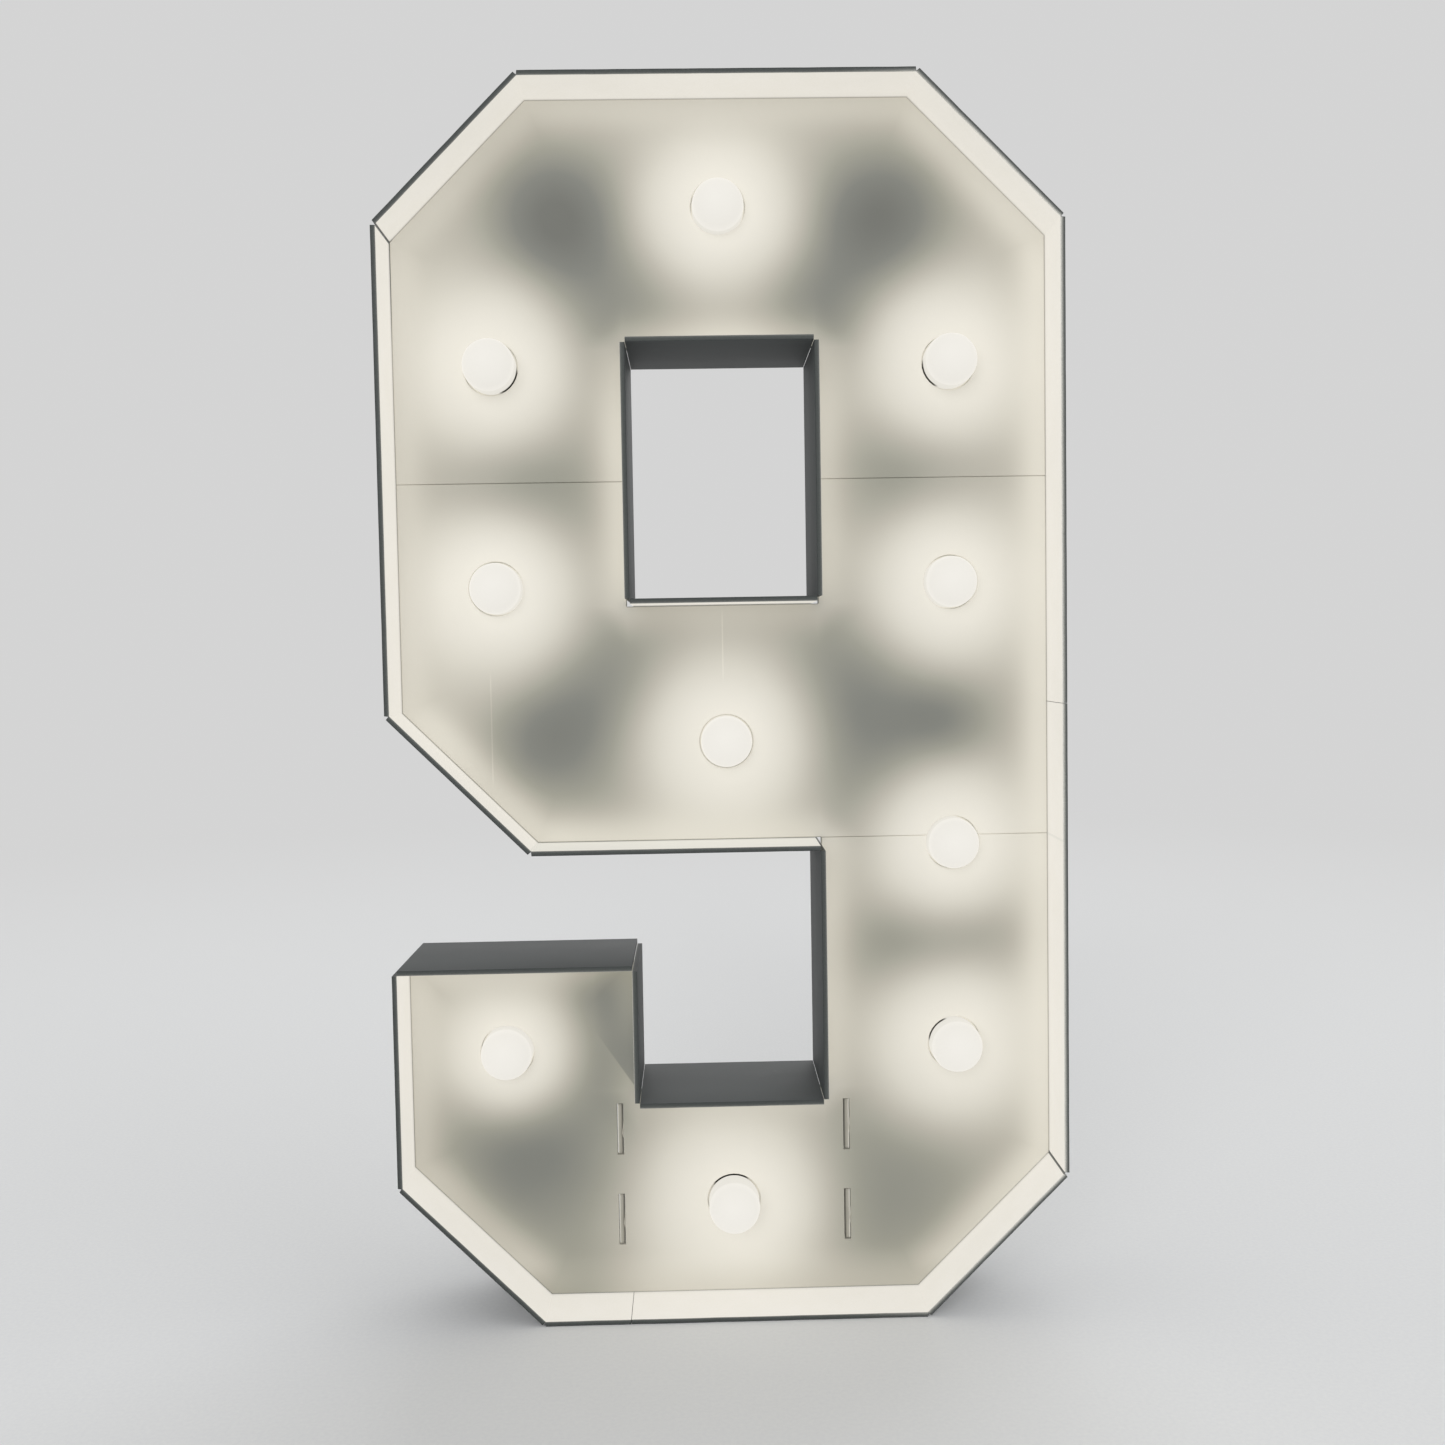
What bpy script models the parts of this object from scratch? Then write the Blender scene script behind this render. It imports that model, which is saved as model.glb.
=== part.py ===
"""A light-up marquee number nine, as its maker would cut and fold it from white foam board.

Edge strips stand round a panel in three pieces, ten globe lamps come through holes in the panel,
and two plug-in legs stand behind it. The battery box and the lead are on the panel's back.
Metres, +Z up. The front looks along -Y. The origin is on the floor, at the middle of the plan.
"""

import math
from types import SimpleNamespace

import bmesh
import bpy
from mathutils import Matrix, Vector
from mathutils.geometry import interpolate_bezier

# The numeral's outline, seen from the front
LEFT_STROKE = 0.1435
COUNTER_WIDTH = 0.109
RIGHT_STROKE = 0.1455
FOOT_STROKE = 0.133
ARM_RISE = 0.082
MOUTH_HEIGHT = 0.066
BOWL_STROKE = 0.149
COUNTER_HEIGHT = 0.147
CROWN_STROKE = 0.153
CHAMFER = 0.084
BOWL_CHAMFER = 0.082

# The boards, and the seams between them
WALL_DEPTH = 0.080
WALL_BOARD = 0.003
FOLD_SKIN = 0.0005
PANEL_BOARD = 0.005
PANEL_SETBACK = 0.035
UPPER_SEAM_RISE = 0.0715
RIGHT_SEAM_HEIGHT = 0.365
FOOT_SEAM_INSET = 0.136
SEAM_PLATE_HEIGHT = 0.044
SEAM_PLATE_BOARD = 0.003
SEAM_PLATE_MARGIN = 0.004

# Clearances
TOUCH_GAP = 0.0003
PANEL_GAP = 0.0004
OPEN_JOINT_GAP = 0.0007
CUT_OVERRUN = 0.002

# Where the lamps are: their inset from the sides, and their places up the strokes
LAMP_INSET = 0.0615
CROWN_LAMP_DROP = 0.0665
UPPER_LAMP_DROP = 0.007
MIDDLE_LAMP_RISE = 0.0085
BOWL_LAMP_RISE = 0.063
COLUMN_LAMP_DROP = 0.0015
LOWER_LAMP_RISE = 0.0225
FOOT_LAMP_HEIGHT = 0.060

# A globe and its neck
GLOBE_RADIUS = 0.0155
GLOBE_WALL = 0.0012
GLOBE_SKIRT = 0.011
GLOBE_ROUNDING = 0.0028
HOLE_PLAY = 0.001
NECK_RADIUS = 0.007
NECK_LENGTH = 0.0132
GLOBE_LEAST_OUT = 0.001
GLOBE_TRAVEL = 0.010

# A holder behind the panel
SOCKET_PLAY = 0.0003
SOCKET_WALL = 0.0021
SOCKET_FLOOR = 0.0015
CUP_PLAY = 0.0005
CUP_WALL = 0.0014
CUP_FLOOR_PLAY = 0.0007
FLANGE_WIDTH = 0.0046
FLANGE_THICKNESS = 0.0018
LED_RADIUS = 0.0025
LED_LENGTH = 0.010

# The lead
LEAD_RADIUS = 0.0012
LEAD_PLAY = 0.0003
LEAD_STRAIGHT = 0.003
LEAD_SAG = 0.006
LEAD_STANDOFF = 0.010

# The legs and their slots
LEG_BOARD = 0.003
LEFT_LEG_OFFSET = 0.0138
RIGHT_LEG_OFFSET = 0.0166
LEG_TOE = 0.190
LEG_TOP = 0.165
LEG_TOP_LENGTH = 0.014
LEG_TOE_HEIGHT = 0.014
SLOT_LENGTH = 0.032
SLOT_PLAY = 0.0005
SLOT_LOW_HEIGHT = 0.0335
SLOT_HIGH_HEIGHT = 0.090
TAB_RECESS = 0.0008
LEG_NOTCH_HEIGHT = 0.016
LEG_NOTCH_DEPTH = 0.012

# The cells and their contacts
CELL_RADIUS = 0.00715
CELL_LENGTH = 0.0505
CELL_BUTTON_RADIUS = 0.00275
CELL_BUTTON_LENGTH = 0.0012
CELL_GAP = 0.0005
SPRING_LENGTH = 0.0035
SPRING_BASE_RADIUS = 0.004
SPRING_TIP_RADIUS = 0.0025
CONTACT_THICKNESS = 0.0005
CONTACT_WIDTH = 0.012
CONTACT_HEIGHT = 0.011

# The battery box and its switch
BOX_INSET = 0.115
BOX_LIFT = 0.011
BOX_WALL = 0.0026
BOX_FLOOR = 0.0018
BOX_PAD = 0.001
BOX_PAD_MARGIN = 0.004
LID_BOARD = 0.0016
LID_TONGUE = 0.0013
LID_LIP = 0.0012
LID_PLAY = 0.0003
SWITCH_BAY_HEIGHT = 0.009
DECK_THICKNESS = 0.0015
KNOB_TRAVEL = 0.004
KNOB_HEIGHT = 0.004
KNOB_STEM_WIDTH = 0.003
KNOB_CAP_WIDTH = 0.0055
KNOB_CAP_RISE = 0.002
KNOB_FOOT_WIDTH = 0.0075
KNOB_FOOT_DEPTH = 0.002
SWITCH_WIDTH = 0.0135
SWITCH_DEPTH = 0.0045
LEAD_EXIT_SETBACK = 0.006

# How finely round pieces are divided
GLOBE_SEGMENTS = 20
GLOBE_DOME_STEPS = 6
GLOBE_INNER_STEPS = 4
GLOBE_ROUNDING_STEPS = 2
HOLDER_SEGMENTS = 16
LED_DOME_STEPS = 3
HOLE_SEGMENTS = 32
SMALL_SEGMENTS = 16
LEAD_SPAN_POINTS = 4
LEAD_BEVEL_RESOLUTION = 2
WELD_DISTANCE = 0.00001

# What follows from the sizes above
FRONT = -LEG_TOE / 2
HALF_WIDTH = (LEFT_STROKE + COUNTER_WIDTH + RIGHT_STROKE) / 2
ARM_HEIGHT = FOOT_STROKE + ARM_RISE
BOWL_HEIGHT = ARM_HEIGHT + MOUTH_HEIGHT
COUNTER_LOW = BOWL_HEIGHT + BOWL_STROKE
COUNTER_HIGH = COUNTER_LOW + COUNTER_HEIGHT
HEIGHT = COUNTER_HIGH + CROWN_STROKE
UPPER_SEAM_HEIGHT = COUNTER_LOW + UPPER_SEAM_RISE
PANEL_BACK = PANEL_SETBACK + PANEL_BOARD
HOLE_RADIUS = GLOBE_RADIUS + HOLE_PLAY
GLOBE_SHOULDER = GLOBE_SKIRT + GLOBE_ROUNDING
NECK_REACH = GLOBE_SHOULDER + NECK_LENGTH
CUP_RADIUS = GLOBE_RADIUS + CUP_PLAY
CUP_FLOOR_SETBACK = GLOBE_SHOULDER - GLOBE_LEAST_OUT + CUP_FLOOR_PLAY
SOCKET_RADIUS = NECK_RADIUS + SOCKET_PLAY
SOCKET_OUTER_RADIUS = SOCKET_RADIUS + SOCKET_WALL
SOCKET_END = NECK_REACH - GLOBE_LEAST_OUT + TOUCH_GAP
GROOVE_WIDTH = 2 * (LEAD_RADIUS + LEAD_PLAY)
GROOVE_FLOOR = SOCKET_END + SOCKET_FLOOR
HOLDER_END = GROOVE_FLOOR + GROOVE_WIDTH
FLANGE_RADIUS = CUP_RADIUS + CUP_WALL + FLANGE_WIDTH
LEAD_GRIP_SETBACK = PANEL_SETBACK + GROOVE_FLOOR + LEAD_PLAY + LEAD_RADIUS
LEFT_LEG_PLACE = LEFT_STROKE - HALF_WIDTH - LEFT_LEG_OFFSET
RIGHT_LEG_PLACE = HALF_WIDTH - RIGHT_STROKE + RIGHT_LEG_OFFSET
LEG_NOTCH_MIDDLE = (SLOT_LOW_HEIGHT + SLOT_LENGTH + SLOT_HIGH_HEIGHT) / 2
CELL_PITCH = 2 * CELL_RADIUS + CELL_GAP
CELL_SETBACK = BOX_FLOOR + CELL_GAP + CELL_RADIUS
BAY_WIDTH = 2 * CELL_PITCH + 2 * CELL_RADIUS + 2 * CELL_GAP
BAY_BOTTOM = 2 * BOX_WALL + SWITCH_BAY_HEIGHT
BAY_TOP = BAY_BOTTOM + CELL_LENGTH + SPRING_LENGTH + 2 * CONTACT_THICKNESS + 4 * TOUCH_GAP
BOX_WIDTH = BAY_WIDTH + 2 * BOX_WALL
BOX_HEIGHT = BAY_TOP + BOX_WALL
LID_SETBACK = CELL_SETBACK + CELL_RADIUS + CELL_GAP
BOX_DEPTH = LID_SETBACK + LID_BOARD + 2 * LID_PLAY + LID_LIP
SWITCH_BAY_MIDDLE = BOX_WALL + SWITCH_BAY_HEIGHT / 2
BOX_PLACE = Vector((
    BOX_INSET - HALF_WIDTH,
    FRONT + PANEL_BACK + BOX_PAD + 2 * TOUCH_GAP,
    BOWL_HEIGHT + BOX_LIFT,
))

# The lamps in the order in which the lead meets them: side of the middle line, and height
LAMP_SIDE = HALF_WIDTH - LAMP_INSET
LAMP_PLACES = (
    (-LAMP_SIDE, COUNTER_LOW + MIDDLE_LAMP_RISE),
    (-LAMP_SIDE, COUNTER_HIGH - UPPER_LAMP_DROP),
    (0.0, HEIGHT - CROWN_LAMP_DROP),
    (LAMP_SIDE, COUNTER_HIGH - UPPER_LAMP_DROP),
    (LAMP_SIDE, COUNTER_LOW + MIDDLE_LAMP_RISE),
    (0.0, BOWL_HEIGHT + BOWL_LAMP_RISE),
    (LAMP_SIDE, BOWL_HEIGHT - COLUMN_LAMP_DROP),
    (LAMP_SIDE, FOOT_STROKE + LOWER_LAMP_RISE),
    (0.0, FOOT_LAMP_HEIGHT),
    (-LAMP_SIDE, FOOT_STROKE + LOWER_LAMP_RISE),
)
# How far each globe is drawn out of its holder, as a share of its travel
LAMP_SEAT_SHARES = (0.1, 0.75, 0.1, 0.65, 0.1, 0.1, 0.1, 0.65, 1.0, 0.25)
# The legs whose notches the lead passes, each on its way to this lamp
LEG_BEFORE_LAMP = {9: RIGHT_LEG_PLACE, 10: LEFT_LEG_PLACE}

# A board's own plane turned to face the front, or to stand edge on to it
FACING_FRONT = (math.pi / 2, 0.0, 0.0)
EDGE_ON = (math.pi / 2, 0.0, math.pi / 2)
LYING = (0.0, 0.0, 0.0)


def collection(name):
    made = bpy.data.collections.new(name)
    bpy.context.scene.collection.children.link(made)
    return made


for old in list(bpy.data.objects):
    bpy.data.objects.remove(old, do_unlink=True)
PARTS = collection("marquee_nine")
CUTTERS = collection("cutters")
PANEL_CUTTERS = collection("panel_cutters")


def finish(name, colour, roughness, metallic=0.0):
    """A Principled material of one colour."""
    made = bpy.data.materials.new(name)
    made.use_nodes = True
    shader = made.node_tree.nodes["Principled BSDF"]
    shader.inputs["Base Color"].default_value = (*colour, 1.0)
    shader.inputs["Roughness"].default_value = roughness
    shader.inputs["Metallic"].default_value = metallic
    return made


BOARD = finish("foam_board", (0.80, 0.78, 0.73), 0.7)
FROSTED = finish("frosted_globe", (0.93, 0.91, 0.86), 0.4)
WHITE_PLASTIC = finish("white_plastic", (0.72, 0.72, 0.70), 0.5)
BLACK_PLASTIC = finish("black_plastic", (0.03, 0.03, 0.032), 0.5)
CLEAR_LEAD = finish("clear_lead", (0.70, 0.70, 0.66), 0.35)
FOAM_PAD = finish("foam_pad", (0.75, 0.74, 0.70), 0.9)
STEEL = finish("plated_steel", (0.62, 0.62, 0.60), 0.3, 1.0)
CELL_SLEEVE = finish("cell_sleeve", (0.12, 0.16, 0.30), 0.35)


def place(obj, location, rotation=LYING, parent=None, home=PARTS):
    obj.location = location
    obj.rotation_euler = rotation
    obj.parent = parent
    home.objects.link(obj)
    return obj


def anchor(name, location, rotation=LYING):
    """An empty that carries the pieces of one sub-assembly."""
    return place(bpy.data.objects.new(name, None), location, rotation)


def board(name, outline, thickness, location, rotation=FACING_FRONT, parent=None, material=BOARD):
    """A flat board: a 2D curve of its outline, extruded half its thickness to each side."""
    data = bpy.data.curves.new(name, "CURVE")
    data.dimensions = "2D"
    data.fill_mode = "BOTH"
    data.extrude = thickness / 2
    spline = data.splines.new("POLY")
    spline.points.add(len(outline) - 1)
    for point, (u, v) in zip(spline.points, outline):
        point.co = (u, v, 0.0, 1.0)
    spline.use_cyclic_u = True
    data.materials.append(material)
    return place(bpy.data.objects.new(name, data), location, rotation, parent)


def as_mesh(curve):
    """The same piece as a mesh with its caps welded on, so that a Boolean can cut it."""
    bpy.context.view_layer.update()
    graph = bpy.context.evaluated_depsgraph_get()
    mesh = bpy.data.meshes.new_from_object(curve.evaluated_get(graph))
    shape = bmesh.new()
    shape.from_mesh(mesh)
    bmesh.ops.remove_doubles(shape, verts=shape.verts, dist=WELD_DISTANCE)
    shape.to_mesh(mesh)
    shape.free()
    name, matrix = curve.name, curve.matrix_world.copy()
    bpy.data.objects.remove(curve, do_unlink=True)
    made = bpy.data.objects.new(name, mesh)
    made.matrix_world = matrix
    PARTS.objects.link(made)
    return made


def mesh_object(name, shape, material=None):
    mesh = bpy.data.meshes.new(name)
    shape.to_mesh(mesh)
    shape.free()
    if material:
        mesh.materials.append(material)
    return bpy.data.objects.new(name, mesh)


def block(name, low, high, material=None):
    """A box between two corners."""
    low, high = Vector(low), Vector(high)
    shape = bmesh.new()
    bmesh.ops.create_cube(shape, size=1.0)
    bmesh.ops.scale(shape, vec=high - low, verts=shape.verts)
    bmesh.ops.translate(shape, vec=(low + high) / 2, verts=shape.verts)
    return mesh_object(name, shape, material)


def cone(name, base_radius, tip_radius, length, segments):
    """A closed cone or cylinder that stands on the origin along +Z."""
    shape = bmesh.new()
    bmesh.ops.create_cone(
        shape,
        cap_ends=True,
        segments=segments,
        radius1=base_radius,
        radius2=tip_radius,
        depth=length,
        matrix=Matrix.Translation((0.0, 0.0, length / 2)),
    )
    return mesh_object(name, shape)


def turned(name, profile, segments, material):
    """A turned piece: points (radius, height) from the front of the axis, carried round Z."""
    mesh = bpy.data.meshes.new(name)
    points = [(radius, 0.0, height) for radius, height in profile]
    edges = [(n, n + 1) for n in range(len(profile) - 1)]
    mesh.from_pydata(points, edges, [])
    mesh.materials.append(material)
    made = bpy.data.objects.new(name, mesh)
    screw = made.modifiers.new("turn", "SCREW")
    screw.axis = "Z"
    screw.steps = segments
    screw.render_steps = segments
    screw.use_merge_vertices = True
    screw.merge_threshold = WELD_DISTANCE
    return made


def as_tool(obj, location, rotation=LYING, parent=None, home=CUTTERS):
    """Files an object as a helper of Booleans, which isn't a piece itself."""
    obj.hide_render = True
    obj.display_type = "WIRE"
    return place(obj, location, rotation, parent, home)


def boolean(target, tool, operation="DIFFERENCE"):
    modifier = target.modifiers.new(tool.name, "BOOLEAN")
    modifier.operation = operation
    modifier.solver = "EXACT"
    modifier.object = tool


def arc(radius, centre, start, end, steps):
    """Points (radius, height) of an arc about a point on the axis, angles from the axis's front."""
    angles = [start + (end - start) * n / steps for n in range(steps + 1)]
    return [(radius * math.sin(angle), centre + radius * math.cos(angle)) for angle in angles]


def corners(inset):
    """The corners (x, z) of the line that runs at this inset inside the outer faces."""
    left, right = inset - HALF_WIDTH, HALF_WIDTH - inset
    top, bottom = HEIGHT - inset, inset
    run = CHAMFER - inset * (2 - math.sqrt(2))
    bowl_run = BOWL_CHAMFER - inset * (2 - math.sqrt(2))
    bay_left = LEFT_STROKE - HALF_WIDTH - inset
    bay_right = HALF_WIDTH - RIGHT_STROKE + inset
    bay_floor, bowl = FOOT_STROKE - inset, BOWL_HEIGHT + inset
    low, high = COUNTER_LOW - inset, COUNTER_HIGH + inset
    return SimpleNamespace(
        left=left,
        right=right,
        bay_left=bay_left,
        bay_right=bay_right,
        bowl=bowl,
        crown_left_low=(left, top - run),
        crown_left=(left + run, top),
        crown_right=(right - run, top),
        crown_right_low=(right, top - run),
        foot_right_high=(right, bottom + run),
        foot_right=(right - run, bottom),
        foot_left=(left + run, bottom),
        foot_left_high=(left, bottom + run),
        arm_outer=(left, ARM_HEIGHT - inset),
        arm_inner=(bay_left, ARM_HEIGHT - inset),
        bay_low_left=(bay_left, bay_floor),
        bay_low_right=(bay_right, bay_floor),
        bay_high=(bay_right, bowl),
        bowl_low=(left + bowl_run, bowl),
        bowl_side=(left, bowl + bowl_run),
        counter=((bay_left, low), (bay_right, low), (bay_right, high), (bay_left, high)),
    )


def wall(name, path, start_gap=TOUCH_GAP / 2, end_gap=TOUCH_GAP / 2):
    """A wall strip on the left of its path. At a fold only the inner skin joins its boards."""
    points = [Vector(point) for point in path]
    along = [(b - a).normalized() for a, b in zip(points, points[1:])]
    out = [Vector((-step.y, step.x)) for step in along]
    points[0] += along[0] * start_gap
    points[-1] -= along[-1] * end_gap
    outline = list(points)
    for n in reversed(range(len(along))):
        outline.append(points[n + 1] + out[n] * WALL_BOARD)
        outline.append(points[n] + out[n] * WALL_BOARD)
        if n:
            mitre = (out[n] + out[n - 1]) / (1 + out[n].dot(out[n - 1]))
            outline.append(points[n] + mitre * FOLD_SKIN)
    return board(name, outline, WALL_DEPTH, (0.0, FRONT + WALL_DEPTH / 2, 0.0))


def make_walls():
    """The outer strips run clockwise, and the bay's and the counter's boards close the outline."""
    c = corners(WALL_BOARD)
    face = corners(0.0)
    right_seam = (c.right, RIGHT_SEAM_HEIGHT)
    foot_seam = (FOOT_SEAM_INSET - HALF_WIDTH, WALL_BOARD)
    half_open = OPEN_JOINT_GAP / 2
    crown = [c.crown_left_low, c.crown_left, c.crown_right, c.crown_right_low, right_seam]
    wall("wall_crown", crown, start_gap=half_open)
    wall("wall_right", [right_seam, c.foot_right_high], end_gap=half_open)
    wall("wall_foot_right", [c.foot_right_high, c.foot_right, foot_seam], start_gap=half_open)
    wall("wall_foot_left", [foot_seam, c.foot_left, c.foot_left_high, c.arm_outer])
    wall("wall_arm_top", [c.arm_outer, c.arm_inner])
    wall("wall_arm_end", [c.arm_inner, (c.bay_left, FOOT_STROKE)])
    wall("wall_bay_floor", [(face.bay_left, c.bay_low_left[1]), (face.bay_right, c.bay_low_left[1])])
    wall("wall_bay_side", [(c.bay_right, FOOT_STROKE), (c.bay_right, BOWL_HEIGHT)])
    bowl = [(face.bay_right, c.bowl), c.bowl_low, c.bowl_side, c.crown_left_low]
    wall("wall_bowl", bowl, end_gap=half_open)
    low, high = c.counter[0][1], c.counter[2][1]
    wall("counter_wall_bottom", [(face.bay_left, low), (face.bay_right, low)])
    wall("counter_wall_right", [(c.bay_right, COUNTER_LOW), (c.bay_right, COUNTER_HIGH)])
    wall("counter_wall_top", [(face.bay_right, high), (face.bay_left, high)])
    wall("counter_wall_left", [(c.bay_left, COUNTER_HIGH), (c.bay_left, COUNTER_LOW)])


def make_panels():
    """Three boards that meet at the seams, with the lamps' holes and the legs' slots cut out."""
    c = corners(WALL_BOARD + PANEL_GAP)
    low_left, low_right, high_right, high_left = c.counter
    above, below = UPPER_SEAM_HEIGHT + TOUCH_GAP / 2, UPPER_SEAM_HEIGHT - TOUCH_GAP / 2
    under = c.bowl - TOUCH_GAP
    upper = [
        (c.left, above), c.crown_left_low, c.crown_left, c.crown_right, c.crown_right_low,
        (c.right, above), (c.bay_right, above), high_right, high_left, (c.bay_left, above),
    ]
    middle = [
        (c.left, below), (c.bay_left, below), low_left, low_right, (c.bay_right, below),
        (c.right, below), (c.right, c.bowl), c.bowl_low, c.bowl_side,
    ]
    lower = [
        (c.bay_right, under), (c.right, under), c.foot_right_high, c.foot_right, c.foot_left,
        c.foot_left_high, c.arm_outer, c.arm_inner, c.bay_low_left, c.bay_low_right,
    ]
    make_panel_cutters()
    middle_of_board = (0.0, FRONT + PANEL_SETBACK + PANEL_BOARD / 2, 0.0)
    for name, outline in (("upper", upper), ("middle", middle), ("lower", lower)):
        panel = as_mesh(board("panel_" + name, outline, PANEL_BOARD, middle_of_board))
        holes = panel.modifiers.new("holes_and_slots", "BOOLEAN")
        holes.solver = "EXACT"
        holes.operand_type = "COLLECTION"
        holes.collection = PANEL_CUTTERS


def make_panel_cutters():
    front, back = FRONT + PANEL_SETBACK - CUT_OVERRUN, FRONT + PANEL_BACK + CUT_OVERRUN
    for number, (x, z) in enumerate(LAMP_PLACES, 1):
        drill = cone(f"hole_cutter_{number}", HOLE_RADIUS, HOLE_RADIUS, back - front, HOLE_SEGMENTS)
        as_tool(drill, (x, back, z), FACING_FRONT, home=PANEL_CUTTERS)
    half_slot = LEG_BOARD / 2 + SLOT_PLAY
    for side in (LEFT_LEG_PLACE, RIGHT_LEG_PLACE):
        for height in (SLOT_LOW_HEIGHT, SLOT_HIGH_HEIGHT):
            slot = block("slot_cutter", (-half_slot, front, 0.0), (half_slot, back, SLOT_LENGTH))
            as_tool(slot, (side, 0.0, height), home=PANEL_CUTTERS)


def make_seam_plates():
    """Backing boards behind the panel's seams, clear of the lamp that sits on the lower one."""
    c = corners(WALL_BOARD + PANEL_GAP)
    plates = (
        ("upper_left", c.left, c.bay_left, UPPER_SEAM_HEIGHT),
        ("upper_right", c.bay_right, c.right, UPPER_SEAM_HEIGHT),
        ("lower_left", c.bay_right, LAMP_SIDE - FLANGE_RADIUS, c.bowl),
        ("lower_right", LAMP_SIDE + FLANGE_RADIUS, c.right, c.bowl),
    )
    for name, left, right, seam in plates:
        low = (left + SEAM_PLATE_MARGIN, 0.0, -SEAM_PLATE_HEIGHT / 2)
        high = (right - SEAM_PLATE_MARGIN, SEAM_PLATE_BOARD, SEAM_PLATE_HEIGHT / 2)
        plate = block("seam_plate_" + name, low, high, BOARD)
        place(plate, (0.0, FRONT + PANEL_BACK + TOUCH_GAP, seam))


def globe_side(inset, steps):
    """The dome, the straight skirt and the rounded floor in to the neck, this far inside."""
    dome = arc(GLOBE_RADIUS - inset, 0.0, 0.0, math.pi / 2, steps)
    rounding = GLOBE_ROUNDING - inset
    middle = GLOBE_RADIUS - GLOBE_ROUNDING
    corner = arc(rounding, -GLOBE_SKIRT, math.pi / 2, math.pi, GLOBE_ROUNDING_STEPS)
    corner = [(middle + radius, height) for radius, height in corner]
    return dome + corner + [(NECK_RADIUS - inset, -GLOBE_SKIRT - rounding)]


def globe_profile():
    """A thin frosted globe, open at the neck, about its dome's centre."""
    neck_end = [(NECK_RADIUS, -NECK_REACH), (NECK_RADIUS - GLOBE_WALL, -NECK_REACH)]
    inside = globe_side(GLOBE_WALL, GLOBE_INNER_STEPS)
    return globe_side(0.0, GLOBE_DOME_STEPS) + neck_end + inside[::-1]


def holder_profile():
    """A cup with a flange, a socket for the neck and the LED on its post, from the panel's face."""
    front, floor, end = -PANEL_BOARD - TOUCH_GAP, -CUP_FLOOR_SETBACK, -SOCKET_END
    cup_outer = CUP_RADIUS + CUP_WALL
    dome = arc(LED_RADIUS, end + LED_LENGTH, 0.0, math.pi / 2, LED_DOME_STEPS)
    return dome + [
        (LED_RADIUS, end),
        (SOCKET_RADIUS, end),
        (SOCKET_RADIUS, floor),
        (CUP_RADIUS, floor),
        (CUP_RADIUS, front),
        (FLANGE_RADIUS, front),
        (FLANGE_RADIUS, front - FLANGE_THICKNESS),
        (cup_outer, front - FLANGE_THICKNESS),
        (cup_outer, floor - CUP_WALL),
        (SOCKET_OUTER_RADIUS, floor - CUP_WALL),
        (SOCKET_OUTER_RADIUS, -HOLDER_END),
        (0.0, -HOLDER_END),
    ]


def lamp_directions():
    """The way the lead runs through each holder: from the place before it to the one after it."""
    stops = [Vector((lead_exit().x, lead_exit().z))] + [Vector(spot) for spot in LAMP_PLACES]
    ways = []
    for n in range(1, len(stops)):
        following = stops[min(n + 1, len(stops) - 1)]
        ways.append((following - stops[n - 1]).normalized())
    return ways


def make_lamps():
    reach = SOCKET_OUTER_RADIUS + CUT_OVERRUN
    groove_low = (-reach, -GROOVE_WIDTH / 2, -HOLDER_END - CUT_OVERRUN)
    groove_high = (reach, GROOVE_WIDTH / 2, -GROOVE_FLOOR)
    lamps = zip(LAMP_PLACES, LAMP_SEAT_SHARES, lamp_directions())
    for number, ((x, z), seat_share, way) in enumerate(lamps, 1):
        seat = anchor(f"lamp_{number}", (x, FRONT + PANEL_SETBACK, z), FACING_FRONT)
        globe = turned(f"globe_{number}", globe_profile(), GLOBE_SEGMENTS, FROSTED)
        out = GLOBE_LEAST_OUT + GLOBE_TRAVEL * seat_share
        place(globe, (0.0, 0.0, out), parent=seat)
        holder = turned(f"holder_{number}", holder_profile(), HOLDER_SEGMENTS, WHITE_PLASTIC)
        place(holder, (0.0, 0.0, 0.0), parent=seat)
        groove = block(f"groove_cutter_{number}", groove_low, groove_high)
        as_tool(groove, (0.0, 0.0, 0.0), (0.0, 0.0, math.atan2(way.y, way.x)), seat)
        boolean(holder, groove)


def lead_exit():
    """Where the lead leaves the battery box, on its left wall."""
    return BOX_PLACE + Vector((-BOX_WIDTH / 2, LEAD_EXIT_SETBACK, SWITCH_BAY_MIDDLE))


def lead_grips():
    """The straight stretches of the lead, each from start to end: in the box's hole and holders."""
    leftwards = Vector((-1.0, 0.0, 0.0))
    exit_point = lead_exit()
    inside = exit_point - leftwards * (BOX_WALL + LEAD_STRAIGHT)
    grips = [(inside, exit_point + leftwards * LEAD_STRAIGHT)]
    for (x, z), way in zip(LAMP_PLACES, lamp_directions()):
        middle = Vector((x, FRONT + LEAD_GRIP_SETBACK, z))
        half = Vector((way.x, 0.0, way.y)) * (SOCKET_OUTER_RADIUS + LEAD_STRAIGHT)
        grips.append((middle - half, middle + half))
    return grips


def bend(start, leaving, end, arriving):
    """Points along a smooth bend after its start, up to and with its end."""
    reach = (end - start).length / 3
    handles = start + leaving * reach, end - arriving * reach
    return interpolate_bezier(start, *handles, end, LEAD_SPAN_POINTS)[1:]


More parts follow.
